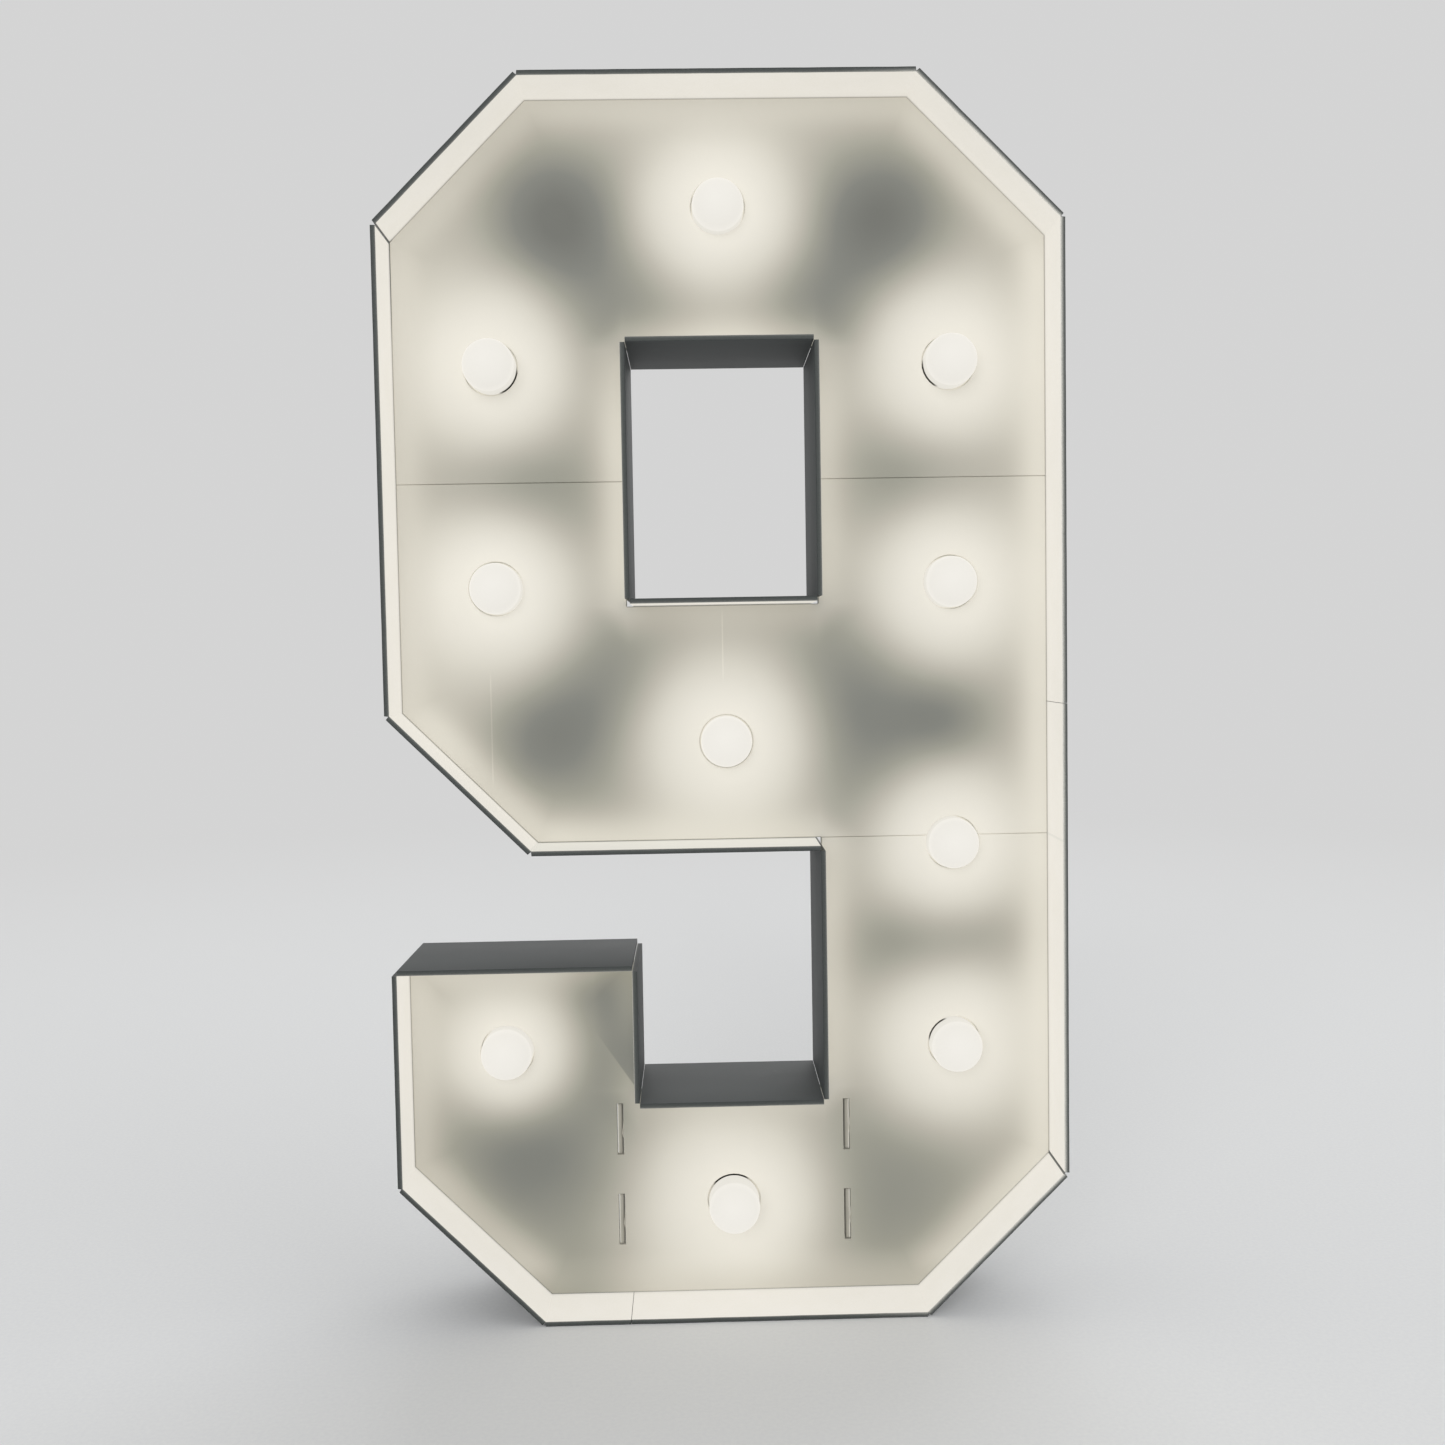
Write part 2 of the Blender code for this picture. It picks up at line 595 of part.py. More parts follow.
def lead_points():
    """Between two grips the lead hangs slack behind the panel, or lies in a leg's notch."""
    grips = lead_grips()
    points = [grips[0][0]]
    for lamp, ((start, end), (next_start, next_end)) in enumerate(zip(grips, grips[1:]), 1):
        slack = (end + next_start) / 2 - Vector((0.0, 0.0, LEAD_SAG))
        slack.y = FRONT + PANEL_BACK + LEAD_STANDOFF
        if lamp in LEG_BEFORE_LAMP:
            notch = FRONT + PANEL_BACK + LEG_NOTCH_DEPTH / 2
            slack = Vector((LEG_BEFORE_LAMP[lamp], notch, LEG_NOTCH_MIDDLE))
        drift = (next_start - end).normalized()
        points.append(end)
        points += bend(end, (end - start).normalized(), slack, drift)
        points += bend(slack, drift, next_start, (next_end - next_start).normalized())
    return points + [grips[-1][1]]


def make_lead():
    points = lead_points()
    data = bpy.data.curves.new("lead", "CURVE")
    data.dimensions = "3D"
    data.bevel_depth = LEAD_RADIUS
    data.bevel_resolution = LEAD_BEVEL_RESOLUTION
    data.use_fill_caps = True
    spline = data.splines.new("POLY")
    spline.points.add(len(points) - 1)
    for point, where in zip(spline.points, points):
        point.co = (*where, 1.0)
    data.materials.append(CLEAR_LEAD)
    place(bpy.data.objects.new("lead", data), (0.0, 0.0, 0.0))


def make_legs():
    """Gusset boards edge on behind the panel: two tabs, a notch for the lead and a long foot."""
    tab = PANEL_BOARD - TAB_RECESS
    wall_top, wall_back = WALL_BOARD + TOUCH_GAP, WALL_DEPTH - PANEL_BACK + TOUCH_GAP
    toe = LEG_TOE - PANEL_BACK
    tab_length = SLOT_LENGTH - 2 * SLOT_PLAY
    low, high = SLOT_LOW_HEIGHT + SLOT_PLAY, SLOT_HIGH_HEIGHT + SLOT_PLAY
    notch_low = LEG_NOTCH_MIDDLE - LEG_NOTCH_HEIGHT / 2
    notch_high = LEG_NOTCH_MIDDLE + LEG_NOTCH_HEIGHT / 2
    outline = [
        (TOUCH_GAP, wall_top),
        (TOUCH_GAP, low), (-tab, low), (-tab, low + tab_length), (TOUCH_GAP, low + tab_length),
        (TOUCH_GAP, notch_low), (LEG_NOTCH_DEPTH, notch_low),
        (LEG_NOTCH_DEPTH, notch_high), (TOUCH_GAP, notch_high),
        (TOUCH_GAP, high), (-tab, high), (-tab, high + tab_length), (TOUCH_GAP, high + tab_length),
        (TOUCH_GAP, LEG_TOP), (LEG_TOP_LENGTH, LEG_TOP),
        (toe, LEG_TOE_HEIGHT), (toe, 0.0), (wall_back, 0.0), (wall_back, wall_top),
    ]
    for name, side in (("leg_left", LEFT_LEG_PLACE), ("leg_right", RIGHT_LEG_PLACE)):
        board(name, outline, LEG_BOARD, (side, FRONT + PANEL_BACK, 0.0), EDGE_ON)


def make_battery_box():
    """The open box: a cell bay and a lid's slot from behind, a switch bay from in front."""
    seat = anchor("battery_box_seat", BOX_PLACE)
    half_bay, half_box = BAY_WIDTH / 2, BOX_WIDTH / 2
    box = block("battery_box", (-half_box, 0.0, 0.0), (half_box, BOX_DEPTH, BOX_HEIGHT), BLACK_PLASTIC)
    place(box, (0.0, 0.0, 0.0), parent=seat)
    out_of_top, out_of_back = BOX_HEIGHT + CUT_OVERRUN, BOX_DEPTH + CUT_OVERRUN
    slot_half, slot_back = half_bay + LID_TONGUE, LID_SETBACK + LID_BOARD + 2 * LID_PLAY
    stem_low = KNOB_STEM_WIDTH / 2 + TOUCH_GAP
    stem_half_height = KNOB_HEIGHT / 2 + TOUCH_GAP
    switch_top = BOX_WALL + SWITCH_BAY_HEIGHT
    deck = BOX_DEPTH - DECK_THICKNESS
    cuts = (
        ("cell_bay", (-half_bay, BOX_FLOOR, BAY_BOTTOM), (half_bay, slot_back, BAY_TOP)),
        ("lid_window", (-half_bay, LID_SETBACK, BAY_BOTTOM), (half_bay, out_of_back, out_of_top)),
        ("lid_slot", (-slot_half, LID_SETBACK, BAY_BOTTOM), (slot_half, slot_back, out_of_top)),
        ("switch_bay", (-half_bay, -CUT_OVERRUN, BOX_WALL), (half_bay, deck, switch_top)),
        (
            "knob_slot",
            (-stem_low, deck - CUT_OVERRUN, SWITCH_BAY_MIDDLE - stem_half_height),
            (stem_low + KNOB_TRAVEL, out_of_back, SWITCH_BAY_MIDDLE + stem_half_height),
        ),
    )
    for name, low, high in cuts:
        boolean(box, as_tool(block(name + "_cutter", low, high), (0.0, 0.0, 0.0), parent=seat))
    hole, through = GROOVE_WIDTH / 2, BOX_WALL + 2 * CUT_OVERRUN
    drill = cone("lead_hole_cutter", hole, hole, through, SMALL_SEGMENTS)
    spot = (-half_box - CUT_OVERRUN, LEAD_EXIT_SETBACK, SWITCH_BAY_MIDDLE)
    boolean(box, as_tool(drill, spot, (0.0, math.pi / 2, 0.0), seat))
    pad_low = (-half_box + BOX_PAD_MARGIN, -TOUCH_GAP - BOX_PAD, BOX_PAD_MARGIN)
    pad_high = (half_box - BOX_PAD_MARGIN, -TOUCH_GAP, BOX_HEIGHT - BOX_PAD_MARGIN)
    place(block("box_pad", pad_low, pad_high, FOAM_PAD), (0.0, 0.0, 0.0), parent=seat)
    lid_half, lid_height = slot_half - LID_PLAY, BOX_HEIGHT - BAY_BOTTOM - LID_PLAY
    lid = block("battery_lid", (-lid_half, 0.0, 0.0), (lid_half, LID_BOARD, lid_height), BLACK_PLASTIC)
    place(lid, (0.0, LID_SETBACK + LID_PLAY, BAY_BOTTOM + LID_PLAY), parent=seat)
    make_switch(seat, deck)
    make_cells(seat)
    make_contacts(seat)


def make_switch(seat, deck):
    """A slide switch behind the deck: its knob's foot is inside and its cap outside."""
    stem, foot, cap = KNOB_STEM_WIDTH / 2, KNOB_FOOT_WIDTH / 2, KNOB_CAP_WIDTH / 2
    foot_back, cap_front = deck - TOUCH_GAP, BOX_DEPTH + TOUCH_GAP
    foot_front, cap_back = foot_back - KNOB_FOOT_DEPTH, cap_front + KNOB_CAP_RISE
    outline = [
        (-foot, foot_front), (foot, foot_front), (foot, foot_back), (stem, foot_back),
        (stem, cap_front), (cap, cap_front), (cap, cap_back), (-cap, cap_back),
        (-cap, cap_front), (-stem, cap_front), (-stem, foot_back), (-foot, foot_back),
    ]
    knob_place = (0.0, 0.0, SWITCH_BAY_MIDDLE)
    board("switch_knob", outline, KNOB_HEIGHT, knob_place, LYING, seat, BLACK_PLASTIC)
    back = foot_front - TOUCH_GAP
    half_height = SWITCH_BAY_HEIGHT / 2 - TOUCH_GAP
    low = (-SWITCH_WIDTH / 2, back - SWITCH_DEPTH, -half_height)
    high = (SWITCH_WIDTH / 2, back, half_height)
    body = block("switch_body", low, high, STEEL)
    place(body, (KNOB_TRAVEL / 2, 0.0, SWITCH_BAY_MIDDLE), parent=seat)


def make_cells(seat):
    """Three cells side by side, each turned the other way up from its neighbour."""
    shoulder = CELL_LENGTH - CELL_BUTTON_LENGTH
    profile = [
        (0.0, CELL_LENGTH), (CELL_BUTTON_RADIUS, CELL_LENGTH), (CELL_BUTTON_RADIUS, shoulder),
        (CELL_RADIUS, shoulder), (CELL_RADIUS, 0.0), (0.0, 0.0),
    ]
    end_gap = CONTACT_THICKNESS + 2 * TOUCH_GAP
    upright = BAY_BOTTOM + end_gap + SPRING_LENGTH
    turned_over = BAY_TOP - end_gap - SPRING_LENGTH
    for number, column in enumerate((-CELL_PITCH, 0.0, CELL_PITCH), 1):
        cell = turned(f"cell_{number}", profile, SMALL_SEGMENTS, CELL_SLEEVE)
        if number % 2:
            place(cell, (column, CELL_SETBACK, upright), parent=seat)
        else:
            place(cell, (column, CELL_SETBACK, turned_over), (math.pi, 0.0, 0.0), seat)


def make_contacts(seat):
    """Plates at the bay's ends. A spring's cone stands on each plate at a cell's flat end."""
    contacts = (
        ("bottom_single", -CELL_PITCH, -CELL_PITCH, -CELL_PITCH, False),
        ("top_link", -CELL_PITCH, 0.0, 0.0, True),
        ("bottom_link", 0.0, CELL_PITCH, CELL_PITCH, False),
        ("top_single", CELL_PITCH, CELL_PITCH, None, True),
    )
    half_width, half_height = CONTACT_WIDTH / 2, CONTACT_HEIGHT / 2
    for name, first, last, spring, at_top in contacts:
        low = (first - half_width, -half_height, 0.0)
        high = (last + half_width, half_height, CONTACT_THICKNESS)
        plate = block("contact_" + name, low, high, STEEL)
        turn = (math.pi, 0.0, 0.0) if at_top else LYING
        height = BAY_TOP - TOUCH_GAP if at_top else BAY_BOTTOM + TOUCH_GAP
        place(plate, (0.0, CELL_SETBACK, height), turn, seat)
        if spring is not None:
            rise = SPRING_LENGTH + CONTACT_THICKNESS / 2
            coil = cone(f"{name}_spring", SPRING_BASE_RADIUS, SPRING_TIP_RADIUS, rise, SMALL_SEGMENTS)
            as_tool(coil, (spring, 0.0, CONTACT_THICKNESS / 2), parent=plate)
            boolean(plate, coil, "UNION")


make_walls()
make_panels()
make_seam_plates()
make_lamps()
make_legs()
make_battery_box()
make_lead()
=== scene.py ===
# %% [markdown]
# # A light-up marquee number nine
# The real object is cut and folded from white foam board. A panel sits inside a rim of edge strips,
# ten frosted globe lamps come through it, and two plug-in legs, a lead and a battery box are behind.
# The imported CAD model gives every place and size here, so each piece is drawn straight into it.

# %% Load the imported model
import math
from collections import namedtuple

import bmesh
import bpy
import numpy as np
from mathutils import Matrix, Vector


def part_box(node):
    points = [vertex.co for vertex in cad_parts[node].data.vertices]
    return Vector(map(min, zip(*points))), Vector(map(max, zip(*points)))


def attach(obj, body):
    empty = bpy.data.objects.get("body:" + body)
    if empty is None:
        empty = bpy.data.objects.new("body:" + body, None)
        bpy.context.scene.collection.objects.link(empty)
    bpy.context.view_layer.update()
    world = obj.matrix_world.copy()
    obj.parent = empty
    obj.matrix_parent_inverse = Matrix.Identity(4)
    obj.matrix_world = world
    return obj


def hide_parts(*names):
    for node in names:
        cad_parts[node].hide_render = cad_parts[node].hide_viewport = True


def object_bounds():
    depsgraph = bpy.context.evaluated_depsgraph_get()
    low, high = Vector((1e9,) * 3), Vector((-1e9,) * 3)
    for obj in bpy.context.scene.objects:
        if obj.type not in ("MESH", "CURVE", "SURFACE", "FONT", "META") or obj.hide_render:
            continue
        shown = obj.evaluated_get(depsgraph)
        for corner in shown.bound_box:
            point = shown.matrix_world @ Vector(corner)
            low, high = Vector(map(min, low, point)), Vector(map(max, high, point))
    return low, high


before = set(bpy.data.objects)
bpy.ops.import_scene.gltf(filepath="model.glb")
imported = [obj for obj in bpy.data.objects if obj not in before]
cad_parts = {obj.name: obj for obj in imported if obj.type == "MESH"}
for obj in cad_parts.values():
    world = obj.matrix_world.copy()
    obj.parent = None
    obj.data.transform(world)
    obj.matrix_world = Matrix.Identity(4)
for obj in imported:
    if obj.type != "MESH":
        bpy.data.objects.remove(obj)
cad_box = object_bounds()
print("CAD nodes:", len(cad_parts), "box:", [tuple(round(v, 4) for v in c) for c in cad_box])


def linked(name, data):
    """A new object that stands in the scene."""
    made = bpy.data.objects.new(name, data)
    bpy.context.scene.collection.objects.link(made)
    return made


# %% [markdown]
# ## The camera
# The photograph's camera was found by fitting a pinhole to the outline's corners: it stands under a
# metre away, a little left of the middle, and tilts and rolls by a few degrees. The turn is built as
# a matrix from those three angles, because the same numbers then fit the picture's pixels.

# %% Place the camera
CAMERA_PLACE = Vector((-0.0183, -0.904, 0.3981))
TILT, PAN, ROLL = math.radians(2.89), math.radians(-1.09), math.radians(-0.97)
FOCAL_PIXELS, PICTURE_PIXELS, SENSOR = 1391.7, 1445, 36.0


def photograph_camera():
    """Rows of the turn are the picture's right, down and forward, on world axes X, -Z and Y."""
    turn = Matrix.Rotation(ROLL, 3, "Z") @ Matrix.Rotation(TILT, 3, "X") @ Matrix.Rotation(PAN, 3, "Y")
    right, down, forward = (Vector((row[0], row[2], -row[1])) for row in turn)
    camera = linked("camera", bpy.data.cameras.new("camera"))
    camera.data.sensor_width = SENSOR
    camera.data.lens = SENSOR * FOCAL_PIXELS / PICTURE_PIXELS
    axes = Matrix((right, -down, -forward)).transposed().to_4x4()
    camera.matrix_world = Matrix.Translation(CAMERA_PLACE) @ axes
    bpy.context.scene.camera = camera
    return camera


print("lens:", round(photograph_camera().data.lens, 2), "mm")

# %% [markdown]
# ## Sums on sockets
# A finish is a sum: the light on the panel falls off with distance, the cut edge gets darker outwards.
# Written as nodes and links such a sum is long and hard to read. This class wraps one socket, so that
# ordinary Python arithmetic adds the Math nodes, and one method makes every other kind of node.

# %% One class for sockets and one way to make a node
GRAIN_ENDS = (0.3, 0.7)
BLACK, WHITE = (0.0, 0.0, 0.0, 1.0), (1.0, 1.0, 1.0, 1.0)


def arithmetic(operation, reflected=False):
    """A method that adds one Math node; reflected puts the wire itself last."""

    def method(self, *others):
        ends = (*others, self) if reflected else (self, *others)
        return self.paint.node("ShaderNodeMath", {"operation": operation}, dict(enumerate(ends)))

    return method


class Wire:
    """An output socket of a node tree. Arithmetic on it adds a Math node and gives its output."""

    def __init__(self, paint, socket):
        self.paint = paint
        self.socket = socket

    __add__ = __radd__ = arithmetic("ADD")
    __sub__, __rsub__ = arithmetic("SUBTRACT"), arithmetic("SUBTRACT", reflected=True)
    __mul__ = __rmul__ = arithmetic("MULTIPLY")
    __truediv__, __pow__ = arithmetic("DIVIDE"), arithmetic("POWER")
    __abs__, sine, exponential = arithmetic("ABSOLUTE"), arithmetic("SINE"), arithmetic("EXPONENT")
    least, most = arithmetic("MINIMUM"), arithmetic("MAXIMUM")

    def rise(self, low, high):
        """0 up to low, 1 from high, and smooth between them."""
        smooth = {"interpolation_type": "SMOOTHSTEP"}
        return self.paint.node("ShaderNodeMapRange", smooth, {0: self, 1: low, 2: high})

    def fade(self, reach, power):
        """exp(-(value / reach) ^ power): 1 at nought, and almost nothing well beyond reach."""
        return ((self / reach) ** power * -1.0).exponential()

    def length_with(self, other):
        """The length of the arrow whose two parts are this and the other."""
        return (self * self + other * other) ** 0.5

    def ramp(self, *stops):
        """The colour at this value between stops (position, (red, green, blue))."""
        stops = [(position, tint(*colour)) for position, colour in stops]
        return self.paint.node("ShaderNodeValToRGB", {"stops": stops}, {0: self})

    def between(self, low, high, ends=GRAIN_ENDS):
        """One colour up to the first end, another from the second."""
        return self.ramp(*zip(ends, (low, high)))


class Paint:
    """A node tree under work: a material's, or the world's."""

    def __init__(self, tree):
        self.tree = tree

    def feed(self, node, sockets):
        for name, value in sockets.items():
            if isinstance(value, Wire):
                self.tree.links.new(value.socket, node.inputs[name])
            else:
                node.inputs[name].default_value = value

    def node(self, kind, settings=None, sockets=None, out=0):
        """Makes a node: its settings first, then the values or links of its sockets."""
        made = self.tree.nodes.new(kind)
        settings = dict(settings or {})
        stops = settings.pop("stops", ())
        for name, value in settings.items():
            setattr(made, name, value)
        for _ in stops[2:]:
            made.color_ramp.elements.new(1.0)
        for number, (position, colour) in enumerate(stops):
            made.color_ramp.elements[number].position = position
            made.color_ramp.elements[number].color = colour
        self.feed(made, sockets or {})
        if isinstance(out, tuple):
            return [Wire(self, made.outputs[name]) for name in out]
        return Wire(self, made.outputs[out])

    def place(self):
        """The point's own place in the object's frame, in metres."""
        return self.node("ShaderNodeTexCoord", out="Object")

    def parts(self, vector):
        return self.node("ShaderNodeSeparateXYZ", sockets={0: vector}, out=(0, 1, 2))

    def notes(self):
        """The three numbers that the shape keeps at each point."""
        return self.parts(self.node("ShaderNodeAttribute", {"attribute_name": "notes"}, out="Vector"))

    def mix(self, share, first, second, kind="MIX"):
        """A colour between two, or their product, by share."""
        settings = {"data_type": "RGBA", "blend_type": kind}
        return self.node("ShaderNodeMix", settings, {0: share, 6: first, 7: second}, out=2)

    def noise(self, where, scale, detail=2.0, roughness=0.5):
        sockets = {"Vector": where, "Scale": scale, "Detail": detail, "Roughness": roughness}
        return self.node("ShaderNodeTexNoise", sockets=sockets)

    def bubbles(self, where, scale):
        """Small closed bubbles: the distance to the nearest of scattered points."""
        return self.node("ShaderNodeTexVoronoi", sockets={"Vector": where, "Scale": scale}, out="Distance")

    def finish(self, sockets, *bump):
        """Feeds the shader its sockets, and its normal a bump: height, distance and perhaps strength."""
        self.feed(self.shader, sockets)
        if bump:
            bump = dict(zip(("Height", "Distance", "Strength"), (*bump, 1.0)))
            self.feed(self.shader, {"Normal": self.node("ShaderNodeBump", sockets=bump)})
        return self

    def glowing(self, share, colour, unlit=None):
        """The sockets of a surface that gives off this share of its colour and reflects the rest."""
        base, glow = self.mix(share, unlit or colour, BLACK), self.mix(share, BLACK, colour)
        return {"Base Color": base, "Emission Color": glow, "Emission Strength": 1.0}


def tint(red, green, blue):
    """A colour as a screen shows it, 0 to 255, as the linear colour that a shader takes."""
    share = np.array([red, green, blue]) / 255
    linear = np.where(share <= 0.04045, share / 12.92, ((share + 0.055) / 1.055) ** 2.4)
    return (*linear.tolist(), 1.0)


def material(name, constants=()):
    """A material with one Principled shader, whose constant values sit on its own sockets."""
    made = bpy.data.materials.new(name)
    made.use_nodes = True
    paint = Paint(made.node_tree)
    paint.material = made
    paint.shader = made.node_tree.nodes["Principled BSDF"]
    paint.feed(paint.shader, dict(constants))
    return paint


print("white board is", [round(v, 3) for v in tint(216, 215, 208)])

# %% [markdown]
# ## Studio light and floor
# The photograph is taken in the dark, lit only by the number itself. This scene uses plain soft
# light instead, mostly from the front, so that the painted pools of light read as they do there.
# The floor fades into the background's own shade with distance, so no horizon cuts the picture.

# %% Light the scene
AMBIENT, BACKDROP = 0.52, 0.66
FLOOR_SIZE, FLOOR_FADE, FLOOR_GRAIN = 30.0, (0.7, 2.6), 420.0
SUNS = (
    ("key", 1.42, 16.0, -14.0, 50.0),
    ("side_fill", 0.40, 30.0, 70.0, 60.0),
    ("back_fill", 0.95, 38.0, 160.0, 60.0),
)


def add_sun(name, strength, elevation, azimuth, width):
    """A soft sun. Azimuth 0 shines from the front, and grows towards the right."""
    light = bpy.data.lights.new(name, "SUN")
    light.energy = strength
    light.angle = math.radians(width)
    sun = linked(name, light)
    up, turn = math.radians(elevation), math.radians(azimuth)
    towards = Vector((math.sin(turn) * math.cos(up), -math.cos(turn) * math.cos(up), math.sin(up)))
    sun.rotation_mode = "QUATERNION"
    sun.rotation_quaternion = towards.to_track_quat("Z", "Y")


def make_world():
    """Even grey light all round; what the camera and gloss see of it is the backdrop's shade."""
    world = bpy.data.worlds.new("studio")
    world.use_nodes = True
    bpy.context.scene.world = world
    paint = Paint(world.node_tree)
    rays = ("Is Camera Ray", "Is Glossy Ray", "Is Transmission Ray")
    camera, glossy, through = paint.node("ShaderNodeLightPath", out=rays)
    strength = AMBIENT + (BACKDROP - AMBIENT) * camera.most(glossy).most(through)
    paint.feed(world.node_tree.nodes["Background"], {"Color": WHITE, "Strength": strength})


def make_floor():
    """A wide square on the ground: pale matt near the object, the backdrop's shade far off."""
    half = FLOOR_SIZE / 2
    mesh = bpy.data.meshes.new("floor")
    corners = [(-half, -half, 0), (half, -half, 0), (half, half, 0), (-half, half, 0)]
    mesh.from_pydata(corners, [], [(0, 1, 2, 3)])
    floor = linked("floor", mesh)
    paint = material("pale_floor", {"Roughness": 0.9})
    where = paint.place()
    grain = paint.noise(where, FLOOR_GRAIN, 3.0)
    paint.finish({"Base Color": grain.between((224, 225, 226), (228, 229, 229))})
    away = paint.node("ShaderNodeVectorMath", {"operation": "LENGTH"}, {0: where}, out="Value")
    far = paint.node("ShaderNodeEmission", sockets={0: (BACKDROP, BACKDROP, BACKDROP, 1.0)})
    ends = {0: away.rise(*FLOOR_FADE), 1: Wire(paint, paint.shader.outputs[0]), 2: far}
    both = paint.node("ShaderNodeMixShader", sockets=ends)
    paint.feed(paint.tree.nodes["Material Output"], {"Surface": both})
    mesh.materials.append(paint.material)


bpy.context.scene.view_settings.view_transform = "Standard"
make_world()
make_floor()
for sun in SUNS:
    add_sun(*sun)
print("suns:", len(SUNS), "ambient:", AMBIENT)

# %% [markdown]
# ## Surfaces from grids
# Nearly every piece here is a grid of points: a profile turned round an axis, carried along a path,
# or an outline offset ring by ring. Working the grid out as one numpy array is quick, and the same
# few lines then turn any grid into faces. Each point also keeps three numbers that its finish reads.

# %% Turn grids of points into closed shells
Shell = namedtuple("Shell", "points faces notes finish")
WELD = 0.000002
SHARP_DEGREES, BOARD_SHARP = 32.0, 25.0
CAD_WELD, CAD_FLAT_DEGREES, BEVEL_DEGREES = 0.00001, 0.5, 40
# Ways to set a shape whose own third axis is its thickness or its axis of turning
STANDING = {"y": (0, 0, 1), "z": (0, 1, 0)}
FACING_FRONT = {"y": (0, 0, 1), "z": (0, -1, 0)}
TURNED_OVER = {"y": (0, -1, 0), "z": (0, 0, -1)}


def skin(grid, notes=None, around=True, capped=True, finish=0):
    """Quads between neighbours of a grid (rows, columns, 3); the columns may close into a loop."""
    rows, columns = grid.shape[:2]
    index = np.arange(rows * columns).reshape(rows, columns)
    joined = np.concatenate([index, index[:, :1]], axis=1) if around else index
    corners = (joined[:-1, :-1], joined[:-1, 1:], joined[1:, 1:], joined[1:, :-1])
    faces = np.stack(corners, axis=-1).reshape(-1, 4).tolist()
    if capped:
        faces += [index[0, ::-1].tolist(), index[-1].tolist()]
    notes = np.zeros_like(grid) if notes is None else np.broadcast_to(notes, grid.shape)
    return Shell(grid.reshape(-1, 3), faces, notes.reshape(-1, 3), finish)


def moved(shell, origin=(0.0, 0.0, 0.0), x=(1, 0, 0), y=(0, 1, 0), z=(0, 0, 1)):
    """The shell in another place: each point is origin + px x + py y + pz z."""
    return shell._replace(points=shell.points @ np.array([x, y, z], float) + np.array(origin))


def collect(name, shells):
    """One mesh object from shells: doubles at poles are merged and faces turned outwards."""
    starts = np.cumsum([0] + [len(shell.points) for shell in shells])
    faces = [[v + start for v in face] for shell, start in zip(shells, starts) for face in shell.faces]
    mesh = bpy.data.meshes.new(name)
    mesh.from_pydata(np.concatenate([shell.points for shell in shells]).tolist(), [], faces)
    attribute = mesh.attributes.new("notes", "FLOAT_VECTOR", "POINT")
    attribute.data.foreach_set("vector", np.concatenate([shell.notes for shell in shells]).ravel())
    finishes = np.concatenate([np.full(len(shell.faces), shell.finish) for shell in shells])
    mesh.polygons.foreach_set("material_index", finishes.astype(np.int32))
    shape = bmesh.new()
    shape.from_mesh(mesh)
    bmesh.ops.remove_doubles(shape, verts=shape.verts, dist=WELD)
    bmesh.ops.dissolve_degenerate(shape, edges=shape.edges, dist=WELD / 10)
    bmesh.ops.recalc_face_normals(shape, faces=shape.faces)
    shape.to_mesh(mesh)
    shape.free()
    return linked(name, mesh)


def keep(obj, finishes, node=None, body="numeral", sharp=SHARP_DEGREES):
    """Dresses a piece, ties it to its body, and hides the node that it stands for."""
    for finish in finishes:
        obj.data.materials.append(finish.material)
    obj.data.shade_smooth()
    obj.data.set_sharp_from_angle(angle=math.radians(sharp))
    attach(obj, body)
    if node:
        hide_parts(node)
    return obj


def softened(node, name, width, finish, segments=2):
    """A merged copy of a CAD node whose edges get a small bevel. The node itself is left alone."""
    shape = bmesh.new()
    shape.from_mesh(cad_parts[node].data)
    bmesh.ops.remove_doubles(shape, verts=shape.verts, dist=CAD_WELD)
    flat = math.radians(CAD_FLAT_DEGREES)
    bmesh.ops.dissolve_limit(shape, angle_limit=flat, verts=shape.verts, edges=shape.edges)
    mesh = bpy.data.meshes.new(name)
    shape.to_mesh(mesh)
    shape.free()
    mesh.materials.clear()
    obj = linked(name, mesh)
    bevel = obj.modifiers.new("edges", "BEVEL")
    bevel.width = width
    bevel.segments = segments
    bevel.limit_method = "ANGLE"
    bevel.angle_limit = math.radians(BEVEL_DEGREES)
    bevel.use_clamp_overlap = True
    return keep(obj, [finish], node)


def ring(segments):
    """Angles once round, without the last one that would repeat the first."""
    return np.linspace(0.0, 2 * np.pi, segments, endpoint=False)


def turned(profile, segments, finish=0, capped=True, flutes=(0, 0.0)):
    """A profile (radius, height) round the axis: x = r cos t, y = r sin t. Notes: share, angle, height.

    Flutes (count, depth at each row) take depth x (1 - cos(count t)) / 2 off the radius.
    """
    profile = np.asarray(profile, float)
    t = ring(segments)
    radius, height = profile[:, :1], profile[:, 1:]
    radius = radius - np.reshape(flutes[1], (-1, 1)) * (1 - np.cos(flutes[0] * t)) / 2
    grid = np.stack([radius * np.cos(t), radius * np.sin(t), height + 0 * t], axis=-1)
    share = np.linspace(0, 1, len(profile))[:, None] + 0 * t
    notes = np.stack([share, t / (2 * np.pi) + 0 * share, height + 0 * t], axis=-1)
    return skin(grid, notes, capped=capped, finish=finish)


def unit(vectors):
    return vectors / np.linalg.norm(vectors, axis=-1, keepdims=True)


